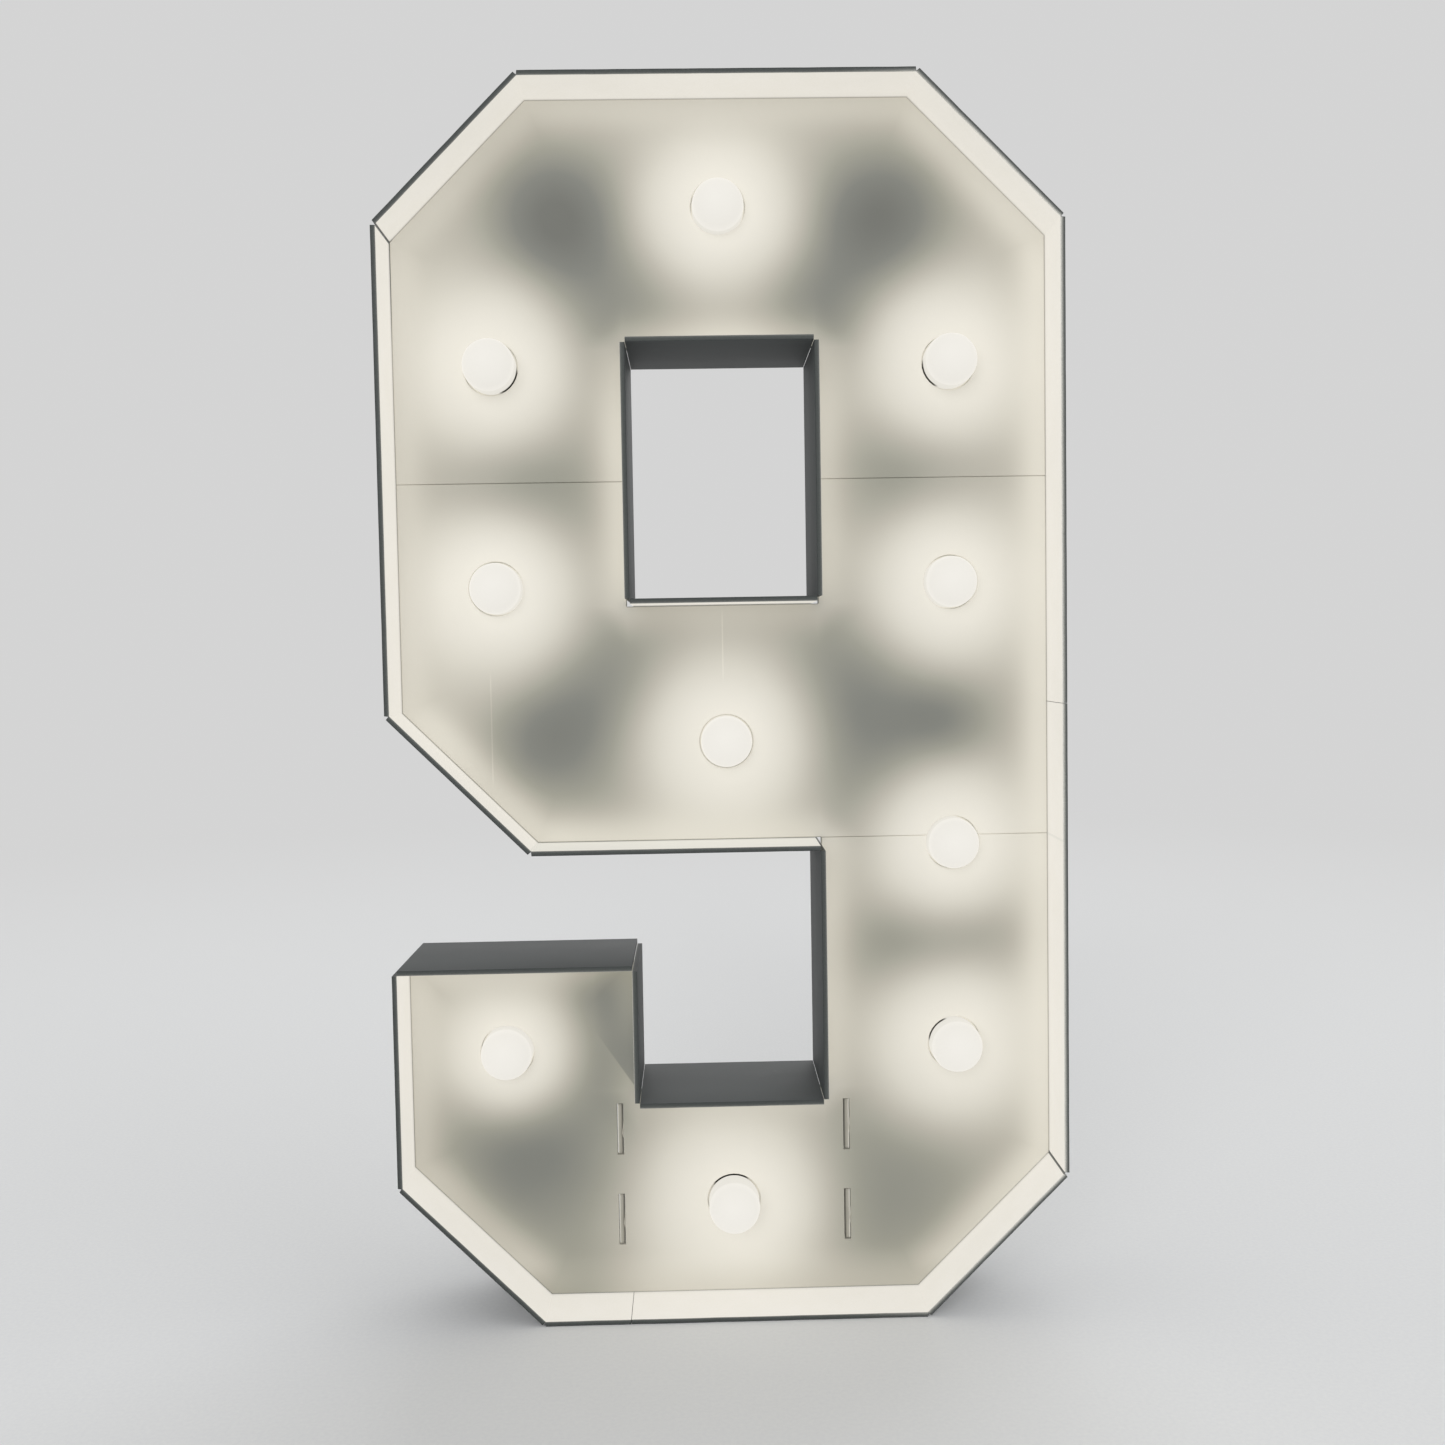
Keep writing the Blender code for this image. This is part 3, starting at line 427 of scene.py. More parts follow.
def swept(path, loop, up, scale=1.0):
    """A loop (a, b) carried along a path: point = path + a side + b lift, with side = up x tangent."""
    path = np.asarray(path, float)
    tangent = unit(np.gradient(path, axis=0))
    side = unit(np.cross(np.broadcast_to(up, path.shape), tangent))
    lift = np.cross(tangent, side)
    loop = np.asarray(loop)[None] * np.reshape(scale, (-1, 1, 1))
    grid = path[:, None] + loop[..., :1] * side[:, None] + loop[..., 1:] * lift[:, None]
    steps = np.linalg.norm(np.diff(path, axis=0, prepend=path[:1]), axis=1).cumsum()
    around = np.linspace(0, 1, loop.shape[1])[None] + 0 * steps[:, None]
    return skin(grid, np.stack([around, steps[:, None] + 0 * around, loop[..., 0] + 0 * around], axis=-1))


def inwards(outline):
    """At each corner of an anticlockwise outline, the mitred way inwards for an inset of one."""
    step = unit(np.roll(outline, -1, axis=0) - outline)
    left = np.stack([-step[:, 1], step[:, 0]], axis=1)
    before = np.roll(left, 1, axis=0)
    return (left + before) / (1 + (left * before).sum(1, keepdims=True))


def softened_corners(outline, radius, steps=4):
    """Each corner becomes a quadratic bend from one side to the next, starting radius away."""
    outline = np.asarray(outline, float)
    to_last, to_next = unit(np.roll(outline, 1, 0) - outline), unit(np.roll(outline, -1, 0) - outline)
    t = np.linspace(0, 1, steps)[None, :, None]
    bend = outline[:, None] + radius * ((1 - t) ** 2 * to_last[:, None] + t**2 * to_next[:, None])
    return bend.reshape(-1, 2)


def plate_edge(thickness, radius, steps=3):
    """A profile (inset, height) up the side of a plate, round at both of its edges."""
    t = np.linspace(0, np.pi / 2, steps)
    low = np.stack([radius * (1 - np.sin(t)), radius * (1 - np.cos(t))], axis=1)
    return np.concatenate([low, np.stack([low[::-1, 0], thickness - low[::-1, 1]], axis=1)])


def moulded(outline, profile):
    """Rings of the outline, each inset and lifted as the profile says. Notes: height share, run, 0."""
    outline, profile = np.asarray(outline, float), np.asarray(profile, float)
    area = (outline[:, 0] * np.roll(outline[:, 1], -1) - np.roll(outline[:, 0], -1) * outline[:, 1]).sum()
    outline = outline if area > 0 else outline[::-1]
    flat = outline[None] + profile[:, :1, None] * inwards(outline)[None]
    height = np.broadcast_to(profile[:, 1:, None], (*flat.shape[:2], 1))
    run = np.linspace(0, 1, len(outline))[None, :, None] + 0 * height
    notes = np.concatenate([height / np.abs(profile[:, 1]).max(), run, 0 * run], axis=-1)
    return skin(np.concatenate([flat, height], axis=-1), notes)


def oblong(low, high):
    """The corners of a rectangle, anticlockwise."""
    (a, b), (c, d) = low, high
    return [(a, b), (c, b), (c, d), (a, d)]


def plate_like(node, profile_of, corner, steps=4):
    """A rectangular plate that fills a node's box, parallel to the panel."""
    low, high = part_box(node)
    outline = softened_corners(oblong((0, 0), (high.x - low.x, high.z - low.z)), corner, steps)
    return moved(moulded(outline, profile_of(high.y - low.y)), low, **STANDING)


print("a unit square insets by", inwards(np.array(oblong((0, 0), (1, 1))))[0])

# %% [markdown]
# ## What the outline measures
# The rim follows the number's outline, so its corners are read from the boxes of the CAD's own
# walls. Only the runs of the cut corners aren't in a box, and are named here as they are there.

# %% Read the outline from the CAD
CHAMFER, BOWL_CHAMFER = 0.084, 0.082
WALL_BOARD, FOLD_SKIN = 0.003, 0.0005
WALL_DEPTH, PANEL_SETBACK, PANEL_BOARD = 0.080, 0.035, 0.005
BUTT_GAP, OPEN_GAP = 0.00015, 0.00035
LEFT, FRONT, FLOOR = cad_box[0]
RIGHT, TOP = cad_box[1].x, cad_box[1].z
BAY_LEFT, BAY_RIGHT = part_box("wall_arm_end")[1].x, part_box("wall_bay_side")[0].x
BAY_FLOOR, ARM_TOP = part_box("wall_bay_floor")[1].z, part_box("wall_arm_top")[1].z
BOWL_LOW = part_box("wall_bowl")[0].z
COUNTER_LOW, COUNTER_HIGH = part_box("counter_wall_bottom")[1].z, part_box("counter_wall_top")[0].z
RIGHT_SEAM = (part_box("wall_crown")[0].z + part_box("wall_right")[1].z) / 2
FOOT_SEAM = (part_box("wall_foot_left")[1].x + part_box("wall_foot_right")[0].x) / 2
PANEL_FRONT = FRONT + PANEL_SETBACK
PANEL_BACK = PANEL_FRONT + PANEL_BOARD
BOX_LOW, BOX_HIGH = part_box("battery_box")
# The inner skin of the walls, and the runs of its cut corners
IN_LEFT, IN_RIGHT = LEFT + WALL_BOARD, RIGHT - WALL_BOARD
IN_LOW, IN_HIGH = FLOOR + WALL_BOARD, TOP - WALL_BOARD
RUN = CHAMFER - WALL_BOARD * (2 - math.sqrt(2))
BOWL_RUN = BOWL_CHAMFER - WALL_BOARD * (2 - math.sqrt(2))
HOLDER_BOXES = [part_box(f"holder_{number}") for number in range(1, 11)]
LAMPS = [tuple(((low + high) / 2).xz) for low, high in HOLDER_BOXES]
print("seams at", round(RIGHT_SEAM, 4), round(FOOT_SEAM, 4), "lamps", len(LAMPS))

# %% [markdown]
# ## Foam board
# The board is a foam core between two paper skins. Its inner side glows with painted lamp light in front of
# the panel and is painted in shade behind it. Its cut edge is painted greyer towards the outside as the
# light through the foam fades. Its outer side, which no lamp reaches, is painted dark as shade. The numbers
# kept at each point say how far across, deep and along it is.

# %% Mix the boards' finishes
FIBRE_SCALES, FOAM_SCALE, BOARD_BUMP = (900.0, 60.0), 1300.0, 0.00012
PAPER_TINTS, SOOTY = ((209, 208, 201), (219, 218, 212)), tint(150, 148, 140)
# Scuffs in the paper: their size, the noise's values between which one shows, and how dark it gets
RIM_SCUFFS, RIM_WEAR = (24.0, 0.62, 0.72), 0.22
PLAIN_SCUFFS, PLAIN_WEAR = (30.0, 0.63, 0.74), 0.16
TRAY_GLOW, TRAY_END = 0.72, (0.42, 0.50)
CORE_STARTS, SKIN_STARTS = (0.015, 0.03), (0.975, 0.985)
# From left to right of the number, the cut edge's painted shade turns from the dark grading to the light one
CORE_LIGHTENS = (0.06, 0.17)
FOAM_SHARE, OUTSIDE_DARKENS, OUTER_SKIN = 0.25, (0.25, 0.65), (0.9, 1.0)
OPEN_JOINTS = ((IN_LEFT, IN_HIGH - RUN), (IN_RIGHT, IN_LOW + RUN))
OPEN_JOINT_LINE, OPEN_JOINT_SHARE, OPEN_JOINT_SHADE = (0.0006, 0.0011), 0.85, tint(48, 48, 44)
BOWL_FLOOR_SHADE, SCUFF_SHADE = tint(227, 225, 216), tint(98, 99, 96)
BOWL_FLOOR_LINE, BOWL_FLOOR_FADE, BOWL_FLOOR_SHARE = (0.0005, 0.001), 0.003, 0.8
PLAIN_CUT_FROM, PLAIN_CUT_TO, PLAIN_CUT_SHADE = (0.09, 0.14), (0.86, 0.91), tint(188, 187, 178)
IN_SLOT_FADE, SLOT_SHADE_SHARE = 0.001, 0.85
# The painted shade and light on a tab end in a slot, from its side next to the number's middle to its outer
# side
SLOT_SHADE_STOPS = (
    (0.0, (66, 63, 53)), (0.18, (96, 92, 80)), (0.34, (150, 146, 134)),
    (0.78, (164, 160, 148)), (0.88, (226, 222, 210)), (1.0, (226, 222, 210)),
)


def fibres(paint, where):
    """Two sizes of mottling in the paper, about 0 to 1."""
    fine, broad = FIBRE_SCALES
    return 0.6 * paint.noise(where, fine, 3.0) + 0.4 * paint.noise(where, broad, 4.0)


def scuffs(paint, where, scale, low, high):
    """1 where the paper has been rubbed."""
    return paint.noise(where, scale, 6.0, 0.65).rise(low, high)


def rim_finish():
    """The edge strips: painted lamp light on the inner skin, painted shade growing outwards across the cut
    edge, and painted shade on the outer skin.
    """
    paint = material("rim_board")
    where = paint.place()
    x, _, z = paint.parts(where)
    across, depth, _ = paint.notes()
    mottle, foam = fibres(paint, where), paint.bubbles(where, FOAM_SCALE)
    tray = 1 - depth.rise(*TRAY_END)
    bowl_floor = 1 - abs(z - BOWL_LOW - WALL_BOARD).rise(*BOWL_FLOOR_LINE)
    bowl_floor = bowl_floor * x.rise(LEFT + BOWL_RUN, LEFT + BOWL_RUN + BOWL_FLOOR_FADE)
    lit_skin = mottle.between((236, 232, 222), (241, 237, 229))
    lit_skin = paint.mix(BOWL_FLOOR_SHARE * bowl_floor, lit_skin, BOWL_FLOOR_SHADE)
    # The inner skin is painted lit in front of the panel and painted in shade behind it
    inside = paint.mix(tray, mottle.between((208, 207, 201), (217, 216, 210)), lit_skin)
    # The outer skin is painted shade, darker towards the back
    front, rear = mottle.between((62, 66, 66), (70, 74, 73)), mottle.between((54, 58, 58), (61, 65, 64))
    outside = paint.mix(depth.rise(*OUTSIDE_DARKENS), front, rear)
    outermost = (1.0, (46, 50, 49))
    # The cut edge is painted shade, deepening from the inner skin outwards
    core = across.ramp((0.0, (150, 149, 143)), (0.14, (90, 92, 89)), (0.4, (58, 62, 60)), outermost)
    light_stops = ((0.0, (226, 223, 214)), (0.3, (158, 158, 152)), (0.6, (92, 94, 91)))
    light_core = across.ramp(*light_stops, outermost)
    core = paint.mix(x.rise(*CORE_LIGHTENS), core, light_core)
    specks = foam.between((0, 0, 0), (255, 255, 255), (0.0, 0.5))
    core = paint.mix(FOAM_SHARE, core, specks, "SOFT_LIGHT")
    cut = across.rise(*CORE_STARTS)
    colour = paint.mix(across.rise(*SKIN_STARTS), paint.mix(cut, inside, core), outside)
    scuff = scuffs(paint, where, *RIM_SCUFFS) * across.rise(*OUTER_SKIN)
    colour = paint.mix(RIM_WEAR * scuff, colour, SCUFF_SHADE)
    for joint_x, joint_z in OPEN_JOINTS:
        off = (x - joint_x).length_with(z - joint_z)
        share = OPEN_JOINT_SHARE * (1 - off.rise(*OPEN_JOINT_LINE))
        colour = paint.mix(share, colour, OPEN_JOINT_SHADE)
    sockets = paint.glowing(TRAY_GLOW * (1 - cut) * tray, colour)
    height = 0.3 * mottle + 0.8 * foam * cut * (1 - across.rise(0.9, 0.97))
    return paint.finish({**sockets, "Roughness": 0.56 + 0.18 * mottle}, height, BOARD_BUMP)


def plain_board_finish():
    """White board with its cut core a shade darker, for the pieces behind the panel.

    The legs' tab ends show in the slots, with painted shade towards the number's middle and a painted light
    line on their outer side.
    """
    paint = material("plain_board")
    where = paint.place()
    x, y, _ = paint.parts(where)
    across = paint.notes()[0]
    mottle = fibres(paint, where)
    cut = across.rise(*PLAIN_CUT_FROM) * (1 - across.rise(*PLAIN_CUT_TO))
    scuff = scuffs(paint, where, *PLAIN_SCUFFS)
    paper = paint.mix(PLAIN_WEAR * scuff, mottle.between(*PAPER_TINTS), SOOTY)
    low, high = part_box("leg_right")
    from_inner = (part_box("leg_left")[1].x - x).most(x - low.x) / (high.x - low.x)
    share = SLOT_SHADE_SHARE * (1 - y.rise(PANEL_BACK - IN_SLOT_FADE, PANEL_BACK))
    board = paint.mix(cut, paper, PLAIN_CUT_SHADE)
    colour = paint.mix(share, board, from_inner.ramp(*SLOT_SHADE_STOPS))
    height = 0.3 * mottle + 0.8 * paint.bubbles(where, FOAM_SCALE) * cut
    return paint.finish({"Base Color": colour, "Roughness": 0.6 + 0.16 * mottle}, height, BOARD_BUMP)


RIM_BOARD, PLAIN_BOARD = rim_finish(), plain_board_finish()
print("boards:", RIM_BOARD.material.name, PLAIN_BOARD.material.name)

# %% [markdown]
# ## The rim
# Each strip is one long board that is folded where the outline turns. The fold is cut through from
# outside, so a notch opens there and only the inner skin goes round. The strip is the board's own
# section, with crisp skins and a core that sits a hair lower, carried along the outline.

# %% Carry the board's section along the outline
STATION, CREASE = 0.006, 0.00004
SKIN_SHARE, CORE_DROP, EDGE_ROUND = 0.13, 0.00012, 0.00028
EDGE_WAVE, WAVES_PER_METRE = 0.00006, (190.0, 71.0)


def board_edge():
    """Across the board's cut edge: how deep each point sinks, and its share across."""
    rise = np.array([0.0, 0.02, 0.07, SKIN_SHARE - 0.02, SKIN_SHARE + 0.03])
    drop = np.array([EDGE_ROUND, EDGE_ROUND * 0.35, 0.0, 0.0, CORE_DROP])
    return np.stack([np.concatenate([drop, drop[::-1]]), np.concatenate([rise, 1 - rise[::-1]])], axis=1)


def board_section():
    """Round the board's section: share across (0 inside, 1 outside) and depth from the front edge."""
    sink, share = board_edge().T
    rear = np.stack([share, WALL_DEPTH - sink], axis=1)
    return np.concatenate([rear, np.stack([share[::-1], sink[::-1]], axis=1)])


def strip(name, path, start_gap=BUTT_GAP, end_gap=BUTT_GAP):
    """Stations down the path: point = place + share x thickness x out, thin as the skin at a fold."""
    path = np.asarray(path, float)
    legs = np.diff(path, axis=0)
    lengths = np.linalg.norm(legs, axis=1)
    along = legs / lengths[:, None]
    out = np.stack([-along[:, 1], along[:, 0]], axis=1)
    places, ways, runs = [], [], []
    for n, length in enumerate(lengths):
        first = start_gap if n == 0 else CREASE
        last = length - (end_gap if n == len(lengths) - 1 else CREASE)
        t = np.linspace(first, last, max(2, int(length / STATION)))
        places.append(path[n] + t[:, None] * along[n])
        ways.append(np.broadcast_to(out[n] * WALL_BOARD, (len(t), 2)))
        runs.append(t + lengths[:n].sum())
        if n < len(lengths) - 1:
            places.append(path[n + 1][None])
            ways.append(((out[n] + out[n + 1]) / (1 + out[n] @ out[n + 1]) * FOLD_SKIN)[None])
            runs.append(np.array([lengths[: n + 1].sum()]))
    places, ways, runs = np.concatenate(places), np.concatenate(ways), np.concatenate(runs)
    section = board_section()
    fine, broad = WAVES_PER_METRE
    wave = EDGE_WAVE * (np.sin(runs * fine + len(path)) + np.sin(runs * broad)) ** 2
    flat = places[:, None] + section[None, :, :1] * ways[:, None]
    depth = section[None, :, 1] + wave[:, None] * np.sign(WALL_DEPTH / 2 - section[None, :, 1])
    grid = np.stack([flat[..., 0], FRONT + depth, flat[..., 1]], axis=-1)
    across, run = section[None, :, 0] + 0 * depth, runs[:, None] + 0 * depth
    notes = np.stack([across, depth / WALL_DEPTH, run], axis=-1)
    piece = collect(name.replace("wall", "strip"), [skin(grid, notes)])
    return keep(piece, [RIM_BOARD], name, sharp=BOARD_SHARP)


def make_rim():
    crown_low, foot_high = (IN_LEFT, IN_HIGH - RUN), (IN_RIGHT, IN_LOW + RUN)
    arm, bowl = (BAY_LEFT - WALL_BOARD, ARM_TOP - WALL_BOARD), BOWL_LOW + WALL_BOARD
    bay_left, bay_right = BAY_LEFT - WALL_BOARD, BAY_RIGHT + WALL_BOARD
    counter_low, counter_high = COUNTER_LOW - WALL_BOARD, COUNTER_HIGH + WALL_BOARD
    crown = [crown_low, (IN_LEFT + RUN, IN_HIGH), (IN_RIGHT - RUN, IN_HIGH), (IN_RIGHT, IN_HIGH - RUN)]
    bowl_run = [(BAY_RIGHT, bowl), (IN_LEFT + BOWL_RUN, bowl), (IN_LEFT, bowl + BOWL_RUN), crown_low]
    foot_left = [(FOOT_SEAM, IN_LOW), (IN_LEFT + RUN, IN_LOW), (IN_LEFT, IN_LOW + RUN), (IN_LEFT, arm[1])]
    floor = BAY_FLOOR - WALL_BOARD
    strips = {
        "wall_crown": (crown + [(IN_RIGHT, RIGHT_SEAM)], OPEN_GAP),
        "wall_right": ([(IN_RIGHT, RIGHT_SEAM), foot_high], BUTT_GAP, OPEN_GAP),
        "wall_foot_right": ([foot_high, (IN_RIGHT - RUN, IN_LOW), (FOOT_SEAM, IN_LOW)], OPEN_GAP),
        "wall_foot_left": (foot_left,),
        "wall_arm_top": ([foot_left[-1], arm],),
        "wall_arm_end": ([arm, (bay_left, BAY_FLOOR)],),
        "wall_bay_floor": ([(BAY_LEFT, floor), (BAY_RIGHT, floor)],),
        "wall_bay_side": ([(bay_right, BAY_FLOOR), (bay_right, BOWL_LOW)],),
        "wall_bowl": (bowl_run, BUTT_GAP, OPEN_GAP),
        "counter_wall_bottom": ([(BAY_LEFT, counter_low), (BAY_RIGHT, counter_low)],),
        "counter_wall_right": ([(bay_right, COUNTER_LOW), (bay_right, COUNTER_HIGH)],),
        "counter_wall_top": ([(BAY_RIGHT, counter_high), (BAY_LEFT, counter_high)],),
        "counter_wall_left": ([(bay_left, COUNTER_HIGH), (bay_left, COUNTER_LOW)],),
    }
    for name, run in strips.items():
        made = strip(name, *run)
        low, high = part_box(name)
        size = [round(1000 * side, 1) for side in high - low]
        print(name, len(made.data.polygons), "faces for a node of", size, "mm")


make_rim()

# %% [markdown]
# ## The panel and its pools of light
# Each lamp's round pool of light is painted on the board, with round clouds of painted shade between pools
# and a painted light border where the walls throw light back. The light in a pool falls off as
# exp(-(distance / reach) ^ 3), the border as exp(-(distance / 18 mm) ^ 2.46) and a cloud of shade as
# exp(-(distance / reach) ^ 2). All are worked out from the point's own place, so they stay on the board in
# every view. The lighter part glows.

# %% Paint the pools of light
POOL_REACH = (0.0542, 0.0536, 0.0482, 0.0523, 0.0521, 0.0671, 0.0501, 0.0539, 0.0609, 0.0414)
POOL_FALL, POOL_STRENGTH, POOL_FAR = 3.0, 0.992, 0.12
POOLS = [(x, z, reach, POOL_STRENGTH) for (x, z), reach in zip(LAMPS, POOL_REACH)]
BORDER_REACH, BORDER_FALL = 0.0181, 2.46
BASE_LEVEL, POOL_GAIN, BORDER_GAIN, BOTH_GAIN = 0.682, 0.201, 0.130, -0.139
DRIFT_SCALE, DRIFT_GAIN, MOTTLE_GAIN = 9.0, 0.05, 0.012
# The foot's border is dimmer than the others, up to this height
FOOT_SHADE, FOOT_SHADE_TOP = 0.085, 0.026
# Each cloud of painted shade: its middle (x, z), reach and depth; the last two lie in the arm
SHADE_CLOUDS = (
    (-0.097, 0.659, 0.039, 0.309), (-0.066, 0.597, 0.050, 0.166), (0.097, 0.656, 0.040, 0.306),
    (0.062, 0.602, 0.038, 0.176), (-0.121, 0.490, 0.048, 0.201), (0.114, 0.504, 0.044, 0.151),
    (-0.113, 0.345, 0.035, 0.150), (-0.054, 0.364, 0.059, 0.278), (0.053, 0.355, 0.061, 0.337),
    (0.132, 0.355, 0.031, 0.167), (0.145, 0.223, 0.034, 0.140), (-0.125, 0.091, 0.062, 0.220),
    (0.091, 0.064, 0.073, 0.166), (0.101, 0.217, 0.035, 0.125), (-0.095, 0.000, 0.030, 0.120),
    (-0.078, 0.192, 0.026, 0.176), (-0.061, 0.150, 0.031, 0.189),
)
SHADE_CLOUD_FALL = 2.0
# The shade in the arm's upper corner starts sharply where x * slant + z passes its edge, and deepens
# to the right
ARM_SHADE_SLANT, ARM_SHADE_EDGE = 1.47, (0.0439, 0.0457)
ARM_SHADE_LEFT, ARM_SHADE_SLOPE = -0.0842, 5.04
# The colour of each level of painted light, from the deepest shade to the middle of a pool
LEVEL_STOPS = (
    (0.375, (107, 108, 102)), (0.475, (124, 125, 118)), (0.575, (153, 152, 140)), (0.675, (184, 180, 168)),
    (0.775, (212, 208, 196)), (0.875, (233, 229, 218)), (0.935, (238, 235, 226)),
)
GLOW_FROM, GLOW_SLOPE, CUT_GLOW = 0.6, 1.25, 0.25
# A painted contact shadow runs as a dark line where the panel meets the walls, darker where the panel stands
# off the left wall
WALL_LINE, LOOSE_EDGE, LOOSE_WIDTH = (0.0004, 0.0011), (0.58, 0.63), (0.004, 0.006)
CONTACT_SHADOW_DEPTH, LOOSE_SHADOW_DEPTH = 0.2, 0.5
# Each crease gets a thin painted highlight: its x and the heights where it starts and ends
CREASES = ((-0.142, 0.317, 0.390), (-0.0014, 0.378, 0.426))
CREASE_LINE, CREASE_FADE, CREASE_GAIN = (0.0001, 0.0006), 0.01, 0.045
CUT_STARTS, CUT_ENDS = (0.0003, 0.0005), (PANEL_BOARD - 0.0004, PANEL_BOARD - 0.0001)
CUT_SHARE, CUT_SHADE = 0.22, tint(120, 119, 110)
PANEL_SCUFFS, PANEL_WEAR, PANEL_SOOTY = (26.0, 0.62, 0.74), 0.18, tint(152, 150, 142)
PANEL_BUMP = 0.0001
# Round each board of the panel: the voids (low x, high x, low z, high z), where 1 is far outside the
# number, and the cut corners (signs of the ways inwards, x, z, run)
BAY = (BAY_LEFT - WALL_BOARD, BAY_RIGHT + WALL_BOARD)
COUNTER = (*BAY, COUNTER_LOW - WALL_BOARD, COUNTER_HIGH + WALL_BOARD)
ARM_HIGH, BOWL_FLOOR = ARM_TOP - WALL_BOARD, BOWL_LOW + WALL_BOARD
VOIDS = {
    "panel_upper": (COUNTER, (-1, 1, IN_HIGH, 1)),
    "panel_middle": (COUNTER, (-1, BAY[1], -1, BOWL_FLOOR)),
    "panel_lower": ((-1, 1, -1, IN_LOW), (*BAY, BAY_FLOOR - WALL_BOARD, 1), (-1, BAY[1], ARM_HIGH, 1)),
}
CUT_CORNERS = {
    "panel_upper": ((1, -1, IN_LEFT, IN_HIGH, RUN), (-1, -1, IN_RIGHT, IN_HIGH, RUN)),
    "panel_middle": ((1, 1, IN_LEFT, BOWL_FLOOR, BOWL_RUN),),
    "panel_lower": ((1, 1, IN_LEFT, IN_LOW, RUN), (-1, 1, IN_RIGHT, IN_LOW, RUN)),
}


def spots(paint, where, panel, rows, fall):
    """For each row (x, z, reach, strength) near the board: its strength, less with the distance."""
    low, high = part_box(panel)
    for x, z, reach, strength in rows:
        if max(low.x - x, x - high.x, low.z - z, z - high.z) <= POOL_FAR:
            ends = {0: where, 1: (x, PANEL_FRONT, z)}
            away = paint.node("ShaderNodeVectorMath", {"operation": "DISTANCE"}, ends, out="Value")
            yield strength * away.fade(reach, fall)


def arm_shade(x, z):
    """How much darker the arm's upper corner is."""
    in_arm = 1 - x.rise(BAY_LEFT, BAY_LEFT + WALL_BOARD)
    deeper = ARM_SHADE_SLOPE * (x - ARM_SHADE_LEFT).most(0.0)
    return deeper * in_arm * (x * ARM_SHADE_SLANT + z).rise(*ARM_SHADE_EDGE)


def wall_distance(x, z, panel):
    """How far a point of the panel is from the nearest wall; round a void, the two ways are added."""
    near = (x - IN_LEFT).least(IN_RIGHT - x)
    for low_x, high_x, low_z, high_z in VOIDS[panel]:
        beside, above = (low_x - x).most(x - high_x), (low_z - z).most(z - high_z)
        near = near.least(beside.most(0.0) + above.most(0.0))
    for side_x, side_z, end_x, end_z, run in CUT_CORNERS[panel]:
        near = near.least(((x - end_x) * side_x + (z - end_z) * side_z - run) / math.sqrt(2))
    return near.most(0.0)


def panel_finish(panel):
    paint = material(panel + "_board")
    where = paint.place()
    x, y, z = paint.parts(where)
    dark = 1.0
    for pool in spots(paint, where, panel, POOLS, POOL_FALL):
        dark = (1 - pool) * dark
    pool = 1 - dark
    shade = sum(spots(paint, where, panel, SHADE_CLOUDS, SHADE_CLOUD_FALL))
    if panel == "panel_lower":
        shade = shade + arm_shade(x, z)
    from_wall = wall_distance(x, z, panel)
    border = from_wall.fade(BORDER_REACH, BORDER_FALL)
    level = BASE_LEVEL + POOL_GAIN * pool + BORDER_GAIN * border + BOTH_GAIN * pool * border
    level = level - shade * (1 - pool) - FOOT_SHADE * (1 - z.rise(WALL_BOARD, FOOT_SHADE_TOP))
    level = level + DRIFT_GAIN * (paint.noise(where, DRIFT_SCALE, 3.0) - 0.5)
    # The painted contact shadow along the walls
    line = 1 - from_wall.rise(*WALL_LINE)
    level = level - CONTACT_SHADOW_DEPTH * line
    if panel == "panel_upper":
        loose = (1 - x.rise(*(LEFT + width for width in LOOSE_WIDTH))) * z.rise(*LOOSE_EDGE)
        level = level - LOOSE_SHADOW_DEPTH * line * loose
    for crease_x, low, high in CREASES:
        crease = (1 - abs(x - crease_x).rise(*CREASE_LINE)) * z.rise(low, low + CREASE_FADE)
        level = level + CREASE_GAIN * crease * (1 - z.rise(high - CREASE_FADE, high))
    mottle = fibres(paint, where)
    front = (level + MOTTLE_GAIN * (mottle - 0.5)).ramp(*LEVEL_STOPS)
    depth = y - PANEL_FRONT
    behind = depth.rise(*CUT_ENDS)
    cut = depth.rise(*CUT_STARTS) * (1 - behind)
    colour = paint.mix(CUT_SHARE * cut * (1 - pool), front, CUT_SHADE)
    scuff = scuffs(paint, where, *PANEL_SCUFFS)
    paper = paint.mix(PANEL_WEAR * scuff, mottle.between(*PAPER_TINTS), PANEL_SOOTY)
    share = GLOW_SLOPE * (level - GLOW_FROM).most(0.0) * (1 - behind) * (1 - cut) + CUT_GLOW * cut
    sockets = paint.glowing(share, colour, unlit=paint.mix(behind, colour, paper))
    height = 0.35 * mottle + 0.8 * paint.bubbles(where, FOAM_SCALE) * cut
    return paint.finish({**sockets, "Roughness": 0.54 + 0.18 * mottle}, height, PANEL_BUMP)


# %% [markdown]
# ## The panel's boards
# The three boards are flat, with round holes and narrow slots, and the CAD already cuts them exactly.
# A merged copy of each is used, with a fine bevel, so that the paper's pressed edge catches the light
# at the seams, holes and slots.

# %% Dress the three boards
PANEL_EDGE = 0.0003
for part in ("upper", "middle", "lower"):
    finish = panel_finish("panel_" + part)
    made = softened("panel_" + part, "face_" + part, PANEL_EDGE, finish)
    print(made.name, len(made.data.polygons), "faces before its bevel")

# %% [markdown]
# ## Backing boards and legs
# Strips of the same board bridge the seams from behind. The legs stand edge on: two tabs go through
# slots in the panel, and a notch lets the lead pass. Both are outlines cut from the board, so the
# board's section is used again, this time as the profile of an outline that shrinks and lifts.

